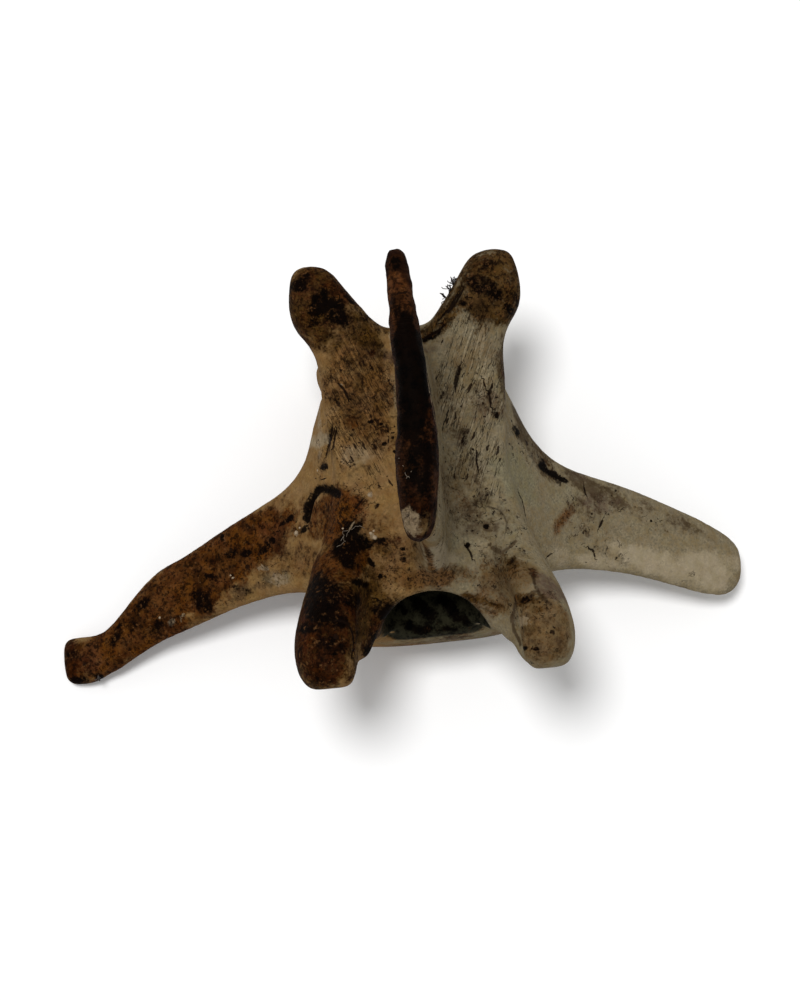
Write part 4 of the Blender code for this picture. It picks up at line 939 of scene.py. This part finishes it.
def stained_bone():
    """Soil-stained dry bone, weathered and unpolished: dull, fibrous and porous, with ragged stains, and some
    shade and highlights painted in among them.
    """
    material = bpy.data.materials.new("soil-stained dry bone")
    material.use_nodes = True
    tree = material.node_tree
    tree.nodes.clear()
    place = add(tree, "ShaderNodeTexCoord", out="Object")
    place_mm = add(tree, VECTOR, {"operation": "SCALE", 0: place, "Scale": 1 / MM})
    names = [*STAINS, "halo", "warm", "crest", "canal", "across", "along", "crack", "by_crack"]
    mark = {name: add(tree, READ, {"attribute_name": name}, "Fac") for name in names}

    # Grain: mottles 1.2 mm across, and specks of 0.3 mm. Real grains are finer; these are two dots of the
    # picture, as coarse as they need to show. The rest say where soil, cracks and changes of hue are.
    mottle, speck, patchy, winding, crumbly, gritty, worn_at, ruddy, strong, sooty = (
        add(tree, NOISE, {
            "noise_dimensions": "4D", "Vector": place_mm, "W": seed, "Scale": 1 / size, "Detail": detail,
            "Roughness": rough,
        })
        for seed, size, detail, rough in (
            (0.0, 1.2, 4.0, 0.62), (3.0, 0.3, 2.0, 0.6), (11.0, 3.0, 2.0, 0.5), (17.0, 2.4, 4.0, 0.6),
            (101.0, 0.9, 4.0, 0.7), (107.0, 0.4, 2.0, 0.6), (113.0, 0.6, 3.0, 0.65), (23.0, 1.6, 2.0, 0.5),
            (29.0, 2.6, 3.0, 0.6), (131.0, 3.2, 3.0, 0.6),
        )
    )

    fibre_place = add(tree, "ShaderNodeCombineXYZ", {
        "X": add(tree, MATH, {"operation": "MULTIPLY", 0: mark["across"], 1: 1 / FIBRE_APART}),
        "Y": add(tree, MATH, {"operation": "MULTIPLY", 0: mark["along"], 1: 1 / FIBRE_LONG}),
    })
    strands = add(tree, NOISE, {"Vector": fibre_place, "Scale": 1.0, "Detail": 3.0, "Roughness": 0.6})
    fibrous = mark["fibre"]
    share = add(tree, MATH, {"operation": "MULTIPLY", 0: fibrous, 1: 0.5})
    off_middle = add(tree, MATH, {"operation": "SUBTRACT", 0: strands, 1: 0.5})
    tone = add(tree, MATH, {"operation": "MULTIPLY", 0: off_middle, 1: share})
    tone = add(tree, MATH, {"operation": "MULTIPLY_ADD", 0: mottle, 1: 0.65, 2: tone})
    tone = add(tree, MATH, {"operation": "MULTIPLY_ADD", 0: speck, 1: 0.35, 2: tone})

    depth = add(tree, RAMP, {**SMOOTH, "Value": tone, "From Min": 0.42, "From Max": 0.6})
    pale = add(tree, MIX, {**COLOURS, "Factor": depth, 6: colour(PALE_BONE), 7: colour(DULL_BONE)}, 2)
    warm = add(tree, MIX, {**COLOURS, "Factor": depth, 6: colour(WARM_BONE), 7: colour(WARM_DULL_BONE)}, 2)
    paint = add(tree, MIX, {**COLOURS, "Factor": mark["warm"], 6: pale, 7: warm}, 2)

    soiled = None
    for seed, (name, light, dark, cover, start, end, ragged) in enumerate(STAIN_LOOKS, 1):
        here = mark[name]
        if name in SPECKLED:
            to_speck = add(tree, READ, {"attribute_name": name + "_specks"}, "Vector")
            far = add(tree, VECTOR, {"operation": "LENGTH", 0: to_speck}, "Value")
            uneven = add(tree, MATH, {"operation": "ADD", 0: mottle, 1: speck})
            far = add(tree, MATH, {"operation": "MULTIPLY_ADD", 0: uneven, 1: 2.0, 2: far})
            speck_here = add(tree, RAMP, {**SMOOTH, "Value": far, "From Min": 3.3, "From Max": 2.5})
            here = add(tree, MATH, {"operation": "MAXIMUM", 0: here, 1: speck_here})
        eaten = add(tree, MATH, {"operation": "MULTIPLY_ADD", 0: speck, 1: EDGE_SPECKS * ragged, 2: here})
        for size, detail, bite in EDGE_CLOUDS:
            cloud = add(tree, NOISE, {
                "noise_dimensions": "4D", "Vector": place_mm, "W": 7.0 * seed, "Scale": 1 / size,
                "Detail": detail, "Roughness": 0.65,
            })
            eaten = add(tree, MATH, {"operation": "MULTIPLY_ADD", 0: cloud, 1: bite * ragged, 2: eaten})
        # Noise is a half on average, so this is what the clouds and specks add where they do nothing
        usual = 0.5 * ragged * (EDGE_SPECKS + sum(bite for *_, bite in EDGE_CLOUDS))
        mask = add(tree, RAMP, {
            **SMOOTH, "Value": eaten, "From Min": start + usual, "From Max": end + usual, "To Max": cover,
        })
        # A stain of no strength shows nowhere, however the noise falls
        some = add(tree, RAMP, {**SMOOTH, "Value": here, "From Min": 0.02, "From Max": 0.25})
        mask = add(tree, MATH, {"operation": "MULTIPLY", 0: mask, 1: some})
        if name in SOILED:
            soiled = mask if soiled is None else add(tree, MATH, {"operation": "MAXIMUM", 0: soiled, 1: mask})
        depth = add(tree, RAMP, {**SMOOTH, "Value": tone, "From Min": 0.4, "From Max": 0.6})
        stain = add(tree, MIX, {**COLOURS, "Factor": depth, 6: colour(light), 7: colour(dark)}, 2)
        paint = add(tree, MIX, {**COLOURS, "Factor": mask, 6: paint, 7: stain}, 2)

    # Soil caught in the brown places: sooty clouds of 3 mm, crumbs of 0.9 and 0.4 mm, and paler worn spots
    off_crest = add(tree, MATH, {"operation": "SUBTRACT", 0: 1.0, 1: mark["crest"]})
    for pattern, start, end, most, code in (
        (sooty, 0.46, 0.66, 0.6, SOIL_BLACK), (crumbly, 0.5, 0.66, 0.6, SOIL_BLACK),
        (gritty, 0.49, 0.6, 0.8, SOIL_BLACK), (worn_at, 0.56, 0.7, 0.5, WORN_BROWN),
    ):
        held = add(tree, RAMP, {
            **SMOOTH, "Value": pattern, "From Min": start, "From Max": end, "To Max": most,
        })
        held = add(tree, MATH, {"operation": "MULTIPLY", 0: held, 1: soiled})
        if code == WORN_BROWN:
            held = add(tree, MATH, {"operation": "MULTIPLY", 0: held, 1: off_crest})
        paint = add(tree, MIX, {**COLOURS, "Factor": held, 6: paint, 7: colour(code)}, 2)

    # Open cracks along the fibres: thin lines where the strands' noise crosses its middle, in places
    line = add(tree, MATH, {"operation": "SUBTRACT", 0: strands, 1: 0.47})
    line = add(tree, MATH, {"operation": "ABSOLUTE", 0: line})
    line = add(tree, RAMP, {**SMOOTH, "Value": line, "From Min": 0.022, "From Max": 0.006})
    open_here = add(tree, MATH, {"operation": "MULTIPLY_ADD", 0: fibrous, 1: 0.34, 2: patchy})
    open_here = add(tree, RAMP, {
        **SMOOTH, "Value": open_here, "From Min": 0.58, "From Max": 0.74, "To Max": 0.75,
    })
    torn = add(tree, MATH, {"operation": "MULTIPLY", 0: line, 1: open_here})
    some = add(tree, RAMP, {**SMOOTH, "Value": fibrous, "From Min": 0.05, "From Max": 0.3})
    torn = add(tree, MATH, {"operation": "MULTIPLY", 0: torn, 1: some})

    # A net of hair cracks, drawn 0.15 mm wide, about twice as wide as real ones, so that they show
    line = add(tree, MATH, {"operation": "SUBTRACT", 0: winding, 1: 0.5})
    line = add(tree, MATH, {"operation": "ABSOLUTE", 0: line})
    line = add(tree, RAMP, {**SMOOTH, "Value": line, "From Min": 0.013, "From Max": 0.003})
    open_here = add(tree, MATH, {"operation": "MULTIPLY_ADD", 0: mark["freckle"], 1: 0.3, 2: patchy})
    open_here = add(tree, RAMP, {
        **SMOOTH, "Value": open_here, "From Min": 0.54, "From Max": 0.7, "To Max": 0.85,
    })
    net = add(tree, MATH, {"operation": "MULTIPLY", 0: line, 1: open_here})
    broken = add(tree, RAMP, {**SMOOTH, "Value": crumbly, "From Min": 0.44, "From Max": 0.58})
    net = add(tree, MATH, {"operation": "MULTIPLY", 0: net, 1: broken})

    # Short tears along the fibres, about 0.25 mm wide and 1 mm long, crowded where the bone is most fibrous
    swayed = add(tree, NOISE, {"Vector": place_mm, "Scale": 1 / 0.8, "Detail": 2.0}, "Color")
    swayed = add(tree, VECTOR, {"operation": "MULTIPLY", 0: swayed, 1: (0.9, 0.5, 0.5)})
    tear_place = add(tree, "ShaderNodeCombineXYZ", {
        "X": add(tree, MATH, {"operation": "MULTIPLY", 0: mark["across"], 1: 1 / TEAR_APART}),
        "Y": add(tree, MATH, {"operation": "MULTIPLY", 0: mark["along"], 1: 1 / TEAR_LONG}),
    })
    tear_place = add(tree, VECTOR, {"operation": "ADD", 0: tear_place, 1: swayed})

    # Open pores: dark, 0.2 to 0.6 mm wide, bent out of round and crowded in some places
    bent = add(tree, NOISE, {"Vector": place_mm, "Scale": 1.6, "Detail": 2.0}, "Color")
    bent = add(tree, VECTOR, {"operation": "MULTIPLY_ADD", 0: bent, 1: (0.8, 0.8, 0.8), 2: place_mm})

    # Tears and pores in the cells of a pattern: how far apart, least width, how much wider, how common
    holes = []
    for where, apart, least, spread, common, crowd in (
        (tear_place, 1.0, 0.09, 0.2, 0.8, fibrous),
        (bent, 0.8, 0.05, 0.16, 0.62, mark["freckle"]),
        (bent, 2.1, 0.06, 0.13, 0.5, mark["freckle"]),
    ):
        near = add(tree, CELLS, {"Vector": where, "Scale": 1 / apart, "Randomness": 1.0}, "Distance")
        chosen = add(tree, "ShaderNodeSeparateColor", {"Color": near.node.outputs["Color"]}).node.outputs
        width = add(tree, MATH, {"operation": "MULTIPLY_ADD", 0: chosen["Green"], 1: spread, 2: least})
        dot = add(tree, MATH, {"operation": "SUBTRACT", 0: near, 1: width})
        dot = add(tree, RAMP, {**SMOOTH, "Value": dot, "From Min": 0.06, "From Max": -0.03, "To Max": 0.9})
        rare = add(tree, MATH, {"operation": "MULTIPLY", 0: crowd, 1: common})
        rare = add(tree, MATH, {"operation": "SUBTRACT", 0: rare, 1: chosen["Red"]})
        rare = add(tree, RAMP, {**SMOOTH, "Value": rare, "From Min": 0.0, "From Max": 0.05})
        holes.append(add(tree, MATH, {"operation": "MULTIPLY", 0: dot, 1: rare}))
    tears, small_pores, large_pores = holes

    # Drawn cracks, their edges broken up by the specks
    off = add(tree, MATH, {"operation": "ABSOLUTE", 0: mark["crack"]})
    off = add(tree, MATH, {"operation": "MULTIPLY_ADD", 0: speck, 1: 1.4, 2: off})
    cracked = add(tree, RAMP, {**SMOOTH, "Value": off, "From Min": 2.05, "From Max": 1.3, "To Max": 0.94})
    cracked = add(tree, MATH, {"operation": "MULTIPLY", 0: cracked, 1: mark["by_crack"]})

    for dark, code in (
        (torn, CRACK_BROWN), (net, CRACK_BROWN), (tears, PORE_BROWN), (small_pores, PORE_BROWN),
        (large_pores, PORE_BROWN), (cracked, CRACK_BROWN),
    ):
        paint = add(tree, MIX, {**COLOURS, "Factor": dark, 6: paint, 7: colour(code)}, 2)

    # Dry bone scatters light unevenly: grains and mottles a little lighter, darker, redder or duller
    uneven = add(tree, MATH, {"operation": "MULTIPLY", 0: speck, 1: 0.6})
    uneven = add(tree, MATH, {"operation": "MULTIPLY_ADD", 0: mottle, 1: 0.4, 2: uneven})
    uneven = add(tree, RAMP, {
        **SMOOTH, "Value": uneven, "From Min": 0.36, "From Max": 0.64, "To Min": -0.4, "To Max": 0.4,
    })
    even = add(tree, RAMP, {**SMOOTH, "Value": mark["bleached_and_painted_light"], "To Min": 1.0, "To Max": 0.5})
    paint = add(tree, "ShaderNodeHueSaturation", {
        "Color": paint,
        "Hue": add(tree, RAMP, {
            **SMOOTH, "Value": ruddy, "From Min": 0.35, "From Max": 0.65, "To Min": 0.498, "To Max": 0.502,
        }),
        "Saturation": add(tree, RAMP, {
            **SMOOTH, "Value": strong, "From Min": 0.35, "From Max": 0.65, "To Min": 0.965, "To Max": 1.02,
        }),
        "Value": add(tree, MATH, {"operation": "MULTIPLY_ADD", 0: uneven, 1: even, 2: 1.0}),
    })

    # Relief too fine for the mesh: grains, mottles and strands stand up, cracks and pores go down
    height = add(tree, MATH, {"operation": "MULTIPLY", 0: speck, 1: 0.05})
    height = add(tree, MATH, {"operation": "MULTIPLY_ADD", 0: mottle, 1: 0.12, 2: height})
    share = add(tree, MATH, {"operation": "MULTIPLY", 0: fibrous, 1: 0.18})
    height = add(tree, MATH, {"operation": "MULTIPLY_ADD", 0: strands, 1: share, 2: height})
    for dark in (torn, net, tears, small_pores, large_pores, cracked):
        height = add(tree, MATH, {"operation": "MULTIPLY_ADD", 0: dark, 1: -0.12, 2: height})
    bump = add(tree, "ShaderNodeBump", {"Strength": 0.9, "Distance": MM, "Height": height})

    rough = add(tree, RAMP, {
        **SMOOTH, "Value": tone, "From Min": 0.35, "From Max": 0.65, "To Min": 0.62, "To Max": 0.85,
    })
    shader = add(tree, "ShaderNodeBsdfPrincipled", {
        "IOR": 1.5, "Metallic": 0.0, "Specular IOR Level": 0.015, "Base Color": paint, "Roughness": rough,
        "Normal": bump,
    })
    add(tree, "ShaderNodeOutputMaterial", {"Surface": shader})
    return material


# Small things' finishes: roughness, IOR, size of the mottles in mm, darker and lighter tone
SMALL_FINISHES = {
    # Dried sinew: thin horny threads that soil has blackened. Dull, with a faint gloss.
    "dried sinew": (0.55, 1.54, 0.8, "#0c0806", "#2a1f18"),
    # Dry root hair: plant fibre, brownish and dull, with a faint silky gloss.
    "dry root hair": (0.5, 1.5, 0.5, "#3d3126", "#7d6f5d"),
    # Lime grit: chalky crumbs of soil stuck to the bone. Quite matt and rough.
    "lime grit": (0.9, 1.56, 0.3, "#6f5f4a", "#a8957a"),
}


def small_finish(name):
    """The material of a small thing, mottled from its darker to its lighter tone."""
    rough, ior, size, dark, light = SMALL_FINISHES[name]
    material = bpy.data.materials.new(name)
    material.use_nodes = True
    tree = material.node_tree
    shader = tree.nodes["Principled BSDF"]
    shader.inputs["Roughness"].default_value = rough
    shader.inputs["IOR"].default_value = ior
    place = add(tree, "ShaderNodeTexCoord", out="Object")
    mottle = add(tree, NOISE, {"Vector": place, "Scale": 1 / (size * MM), "Detail": 2.0})
    paint = add(tree, MIX, {**COLOURS, "Factor": mottle, 6: colour(dark), 7: colour(light)}, 2)
    tree.links.new(paint, shader.inputs["Base Color"])
    return material


def small_thing_tree(name, material, sizes, shape):
    """A geometry tree that puts a shape on each point of a piece."""
    tree, found = new_tree(name, "Places", sizes, "Made")
    inputs = add(tree, "NodeGroupInput").node.outputs
    points = add(tree, "GeometryNodeMeshToPoints", {"Mesh": inputs["Places"]})
    made = shape(tree, inputs, points)
    coated = add(tree, "GeometryNodeSetMaterial", {"Material": material, "Geometry": made})
    add(tree, "NodeGroupOutput", {"Made": coated})
    return tree, found


def threads_shape(tree, inputs, points):
    """Bent threads that stand out of each point, more or less the way that the point says."""
    many = add(tree, "GeometryNodeDuplicateElements", {
        "domain": "POINT", "Geometry": points, "Amount": inputs["Threads at a place"],
    })
    way = add(tree, "GeometryNodeInputNamedAttribute", {"data_type": "FLOAT_VECTOR", "Name": "way"})
    stray = add(tree, "FunctionNodeRandomValue", {
        "data_type": "FLOAT_VECTOR", 0: (-1, -1, -1), 1: (1, 1, 1), "Seed": inputs["Seed"],
    })
    stray = add(tree, VECTOR, {"operation": "SCALE", 0: stray, "Scale": inputs["Spread"]})
    way = add(tree, VECTOR, {"operation": "ADD", 0: way, 1: stray})
    turned = add(tree, "FunctionNodeAlignRotationToVector", {"axis": "Z", "Vector": way})
    long = add(tree, MATH, {"operation": "MULTIPLY", 0: inputs["Length mm"], 1: MM})
    line = add(tree, "GeometryNodeCurvePrimitiveLine", {
        "mode": "DIRECTION", "Direction": (0, 0, 1), "Length": long,
    })
    line = add(tree, "GeometryNodeResampleCurve", {"Curve": line, "Count": 9})
    share = add(tree, "FunctionNodeRandomValue", {
        "data_type": "FLOAT", 2: 0.45, 3: 1.0, "Seed": inputs["Seed"],
    }, 1)
    placed = add(tree, "GeometryNodeInstanceOnPoints", {
        "Points": many, "Instance": line, "Rotation": turned, "Scale": share,
    })
    real = add(tree, "GeometryNodeRealizeInstances", {"Geometry": placed})

    # Threads bend every 0.8 mm or so, and more towards their free ends
    place = add(tree, "GeometryNodeInputPosition")
    bend = add(tree, NOISE, {"Vector": place, "Scale": 1 / (0.8 * MM), "Detail": 1.0}, "Color")
    bend = add(tree, VECTOR, {"operation": "SUBTRACT", 0: bend, 1: (0.5, 0.5, 0.5)})
    outward = add(tree, "GeometryNodeSplineParameter", out="Factor")
    reach = add(tree, MATH, {"operation": "MULTIPLY", 0: outward, 1: long})
    reach = add(tree, MATH, {"operation": "MULTIPLY", 0: reach, 1: 1.6})
    bend = add(tree, VECTOR, {"operation": "SCALE", 0: bend, "Scale": reach})
    bent = add(tree, "GeometryNodeSetPosition", {"Geometry": real, "Offset": bend})
    thick = add(tree, MATH, {"operation": "MULTIPLY", 0: inputs["Thickness mm"], 1: MM / 2})
    ring = add(tree, "GeometryNodeCurvePrimitiveCircle", {"Resolution": 5, "Radius": thick})
    return add(tree, "GeometryNodeCurveToMesh", {"Curve": bent, "Profile Curve": ring, "Fill Caps": True})


def crumbs_shape(tree, inputs, points):
    """A lumpy crumb at each point, as large as the point says."""
    ball = add(tree, "GeometryNodeMeshIcoSphere", {"Radius": MM, "Subdivisions": 2})
    large = add(tree, "GeometryNodeInputNamedAttribute", {"data_type": "FLOAT", "Name": "radius_mm"})
    placed = add(tree, "GeometryNodeInstanceOnPoints", {"Points": points, "Instance": ball, "Scale": large})
    real = add(tree, "GeometryNodeRealizeInstances", {"Geometry": placed})
    # Lumps 0.4 mm across
    place = add(tree, "GeometryNodeInputPosition")
    lumps = add(tree, NOISE, {"Vector": place, "Scale": 1 / (0.4 * MM), "Detail": 1.0}, "Color")
    lumps = add(tree, VECTOR, {"operation": "SUBTRACT", 0: lumps, 1: (0.5, 0.5, 0.5)})
    deep = add(tree, MATH, {"operation": "MULTIPLY", 0: inputs["Lump mm"], 1: MM})
    lumps = add(tree, VECTOR, {"operation": "SCALE", 0: lumps, "Scale": deep})
    return add(tree, "GeometryNodeSetPosition", {"Geometry": real, "Offset": lumps})


def small_things(name, places, attribute, values, tree, sizes):
    """A piece made by a tree from places in millimetres, each with a value of its own."""
    mesh = bpy.data.meshes.new(name)
    mesh.from_pydata([Vector(place) * MM for place in places], [], [])
    if attribute == "way":
        write_vectors(mesh, attribute, np.array(values))
    else:
        write_attribute(mesh, attribute, np.array(values))
    piece = bpy.data.objects.new(name, mesh)
    bpy.context.scene.collection.objects.link(piece)
    give_tree(piece, tree, sizes)
    plain_mesh(piece, name)
    piece.data.shade_smooth()
    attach(piece, "root")


def crumbs_and_threads():
    """The small loose things that lie on the bone."""
    tuft, tuft_sizes = small_thing_tree("sinew threads", small_finish("dried sinew"), [
        ("Threads at a place", 12), ("Length mm", 1.1), ("Thickness mm", 0.11), ("Spread", 0.9), ("Seed", 4),
    ], threads_shape)
    places, ways = zip(*SINEW)
    small_things("sinew_threads", places, "way", ways, tuft, tuft_sizes)
    hairs, hair_sizes = small_thing_tree("root hairs", small_finish("dry root hair"), [
        ("Threads at a place", 1), ("Length mm", 2.0), ("Thickness mm", 0.07), ("Spread", 0.12), ("Seed", 9),
    ], threads_shape)
    places, ways = zip(*ROOT_HAIRS)
    small_things("root_hairs", places, "way", ways, hairs, hair_sizes)
    grit, grit_sizes = small_thing_tree("grit crumbs", small_finish("lime grit"), [
        ("Lump mm", 0.26),
    ], crumbs_shape)
    places, radii = zip(*GRIT)
    small_things("lime_grit", places, "radius_mm", radii, grit, grit_sizes)


def bone_skin():
    """The bone as it is seen, in place of its solid: a fine skin with relief and stains."""
    skin = fine_copy(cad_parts["vertebra"])
    mark_skin(skin.data)
    tree, sizes = relief_tree(stained_bone())
    give_tree(skin, tree, sizes)
    plain_mesh(skin, "bone_skin")
    skin.data.shade_smooth()
    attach(skin, "root")
    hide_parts("vertebra")


def camera():
    """A camera almost straight above, with the head end at the bottom of the picture."""
    azimuth, elevation = math.radians(CAMERA_AZIMUTH), math.radians(CAMERA_ELEVATION)
    back = Vector((
        math.sin(azimuth) * math.cos(elevation), -math.cos(azimuth) * math.cos(elevation), math.sin(elevation)
    ))
    eye = bpy.data.objects.new("camera", bpy.data.cameras.new("camera"))
    bpy.context.scene.collection.objects.link(eye)
    eye.location = Vector(CAMERA_PLACE) * MM
    eye.rotation_mode = "QUATERNION"
    eye.rotation_quaternion = (-back).to_track_quat("-Z", "Y")
    eye.data.lens = CAMERA_LENS
    eye.data.sensor_width = 36.0
    eye.data.clip_start, eye.data.clip_end = 0.01, 20.0
    bpy.context.scene.camera = eye


def softbox(name, place, target, size, watts):
    """A round soft lamp that shines from one place at another."""
    light = bpy.data.lights.new(name, "AREA")
    light.shape = "DISK"
    light.size = size
    light.energy = watts
    lamp = bpy.data.objects.new(name, light)
    bpy.context.scene.collection.objects.link(lamp)
    lamp.location = place
    lamp.rotation_mode = "QUATERNION"
    lamp.rotation_quaternion = (Vector(target) - Vector(place)).to_track_quat("-Z", "Y")


def studio():
    """A white table, light from all round, and one large soft light from beyond the bone's left tail side."""
    scene = bpy.context.scene
    scene.view_settings.view_transform = "Standard"
    world = bpy.data.worlds.new("studio")
    world.use_nodes = True
    world.node_tree.nodes["Background"].inputs["Color"].default_value = colour("#ffffff")
    world.node_tree.nodes["Background"].inputs["Strength"].default_value = ROUND_LIGHT
    scene.world = world
    softbox("soft light", LAMP_PLACE, (0.0, 0.0, 0.0), LAMP_SIZE, LAMP_WATTS)

    mesh = bpy.data.meshes.new("table")
    bm = bmesh.new()
    bmesh.ops.create_grid(bm, x_segments=1, y_segments=1, size=TABLE_HALF)
    bm.to_mesh(mesh)
    bm.free()
    table = bpy.data.objects.new("table", mesh)
    scene.collection.objects.link(table)
    # White card: bleached pulp, pressed smooth and uncoated. Quite matt.
    white = bpy.data.materials.new("white card")
    white.use_nodes = True
    shader = white.node_tree.nodes["Principled BSDF"]
    shader.inputs["Base Color"].default_value = colour("#fcfcfc")
    shader.inputs["Roughness"].default_value = 0.9
    mesh.materials.append(white)


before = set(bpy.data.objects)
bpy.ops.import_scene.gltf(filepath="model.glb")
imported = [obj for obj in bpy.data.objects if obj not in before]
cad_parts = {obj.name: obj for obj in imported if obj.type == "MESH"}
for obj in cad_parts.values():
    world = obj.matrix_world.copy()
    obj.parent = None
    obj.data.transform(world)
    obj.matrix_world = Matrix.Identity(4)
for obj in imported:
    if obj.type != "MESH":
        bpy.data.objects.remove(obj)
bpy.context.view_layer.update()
camera()
studio()
bone_skin()
crumbs_and_threads()
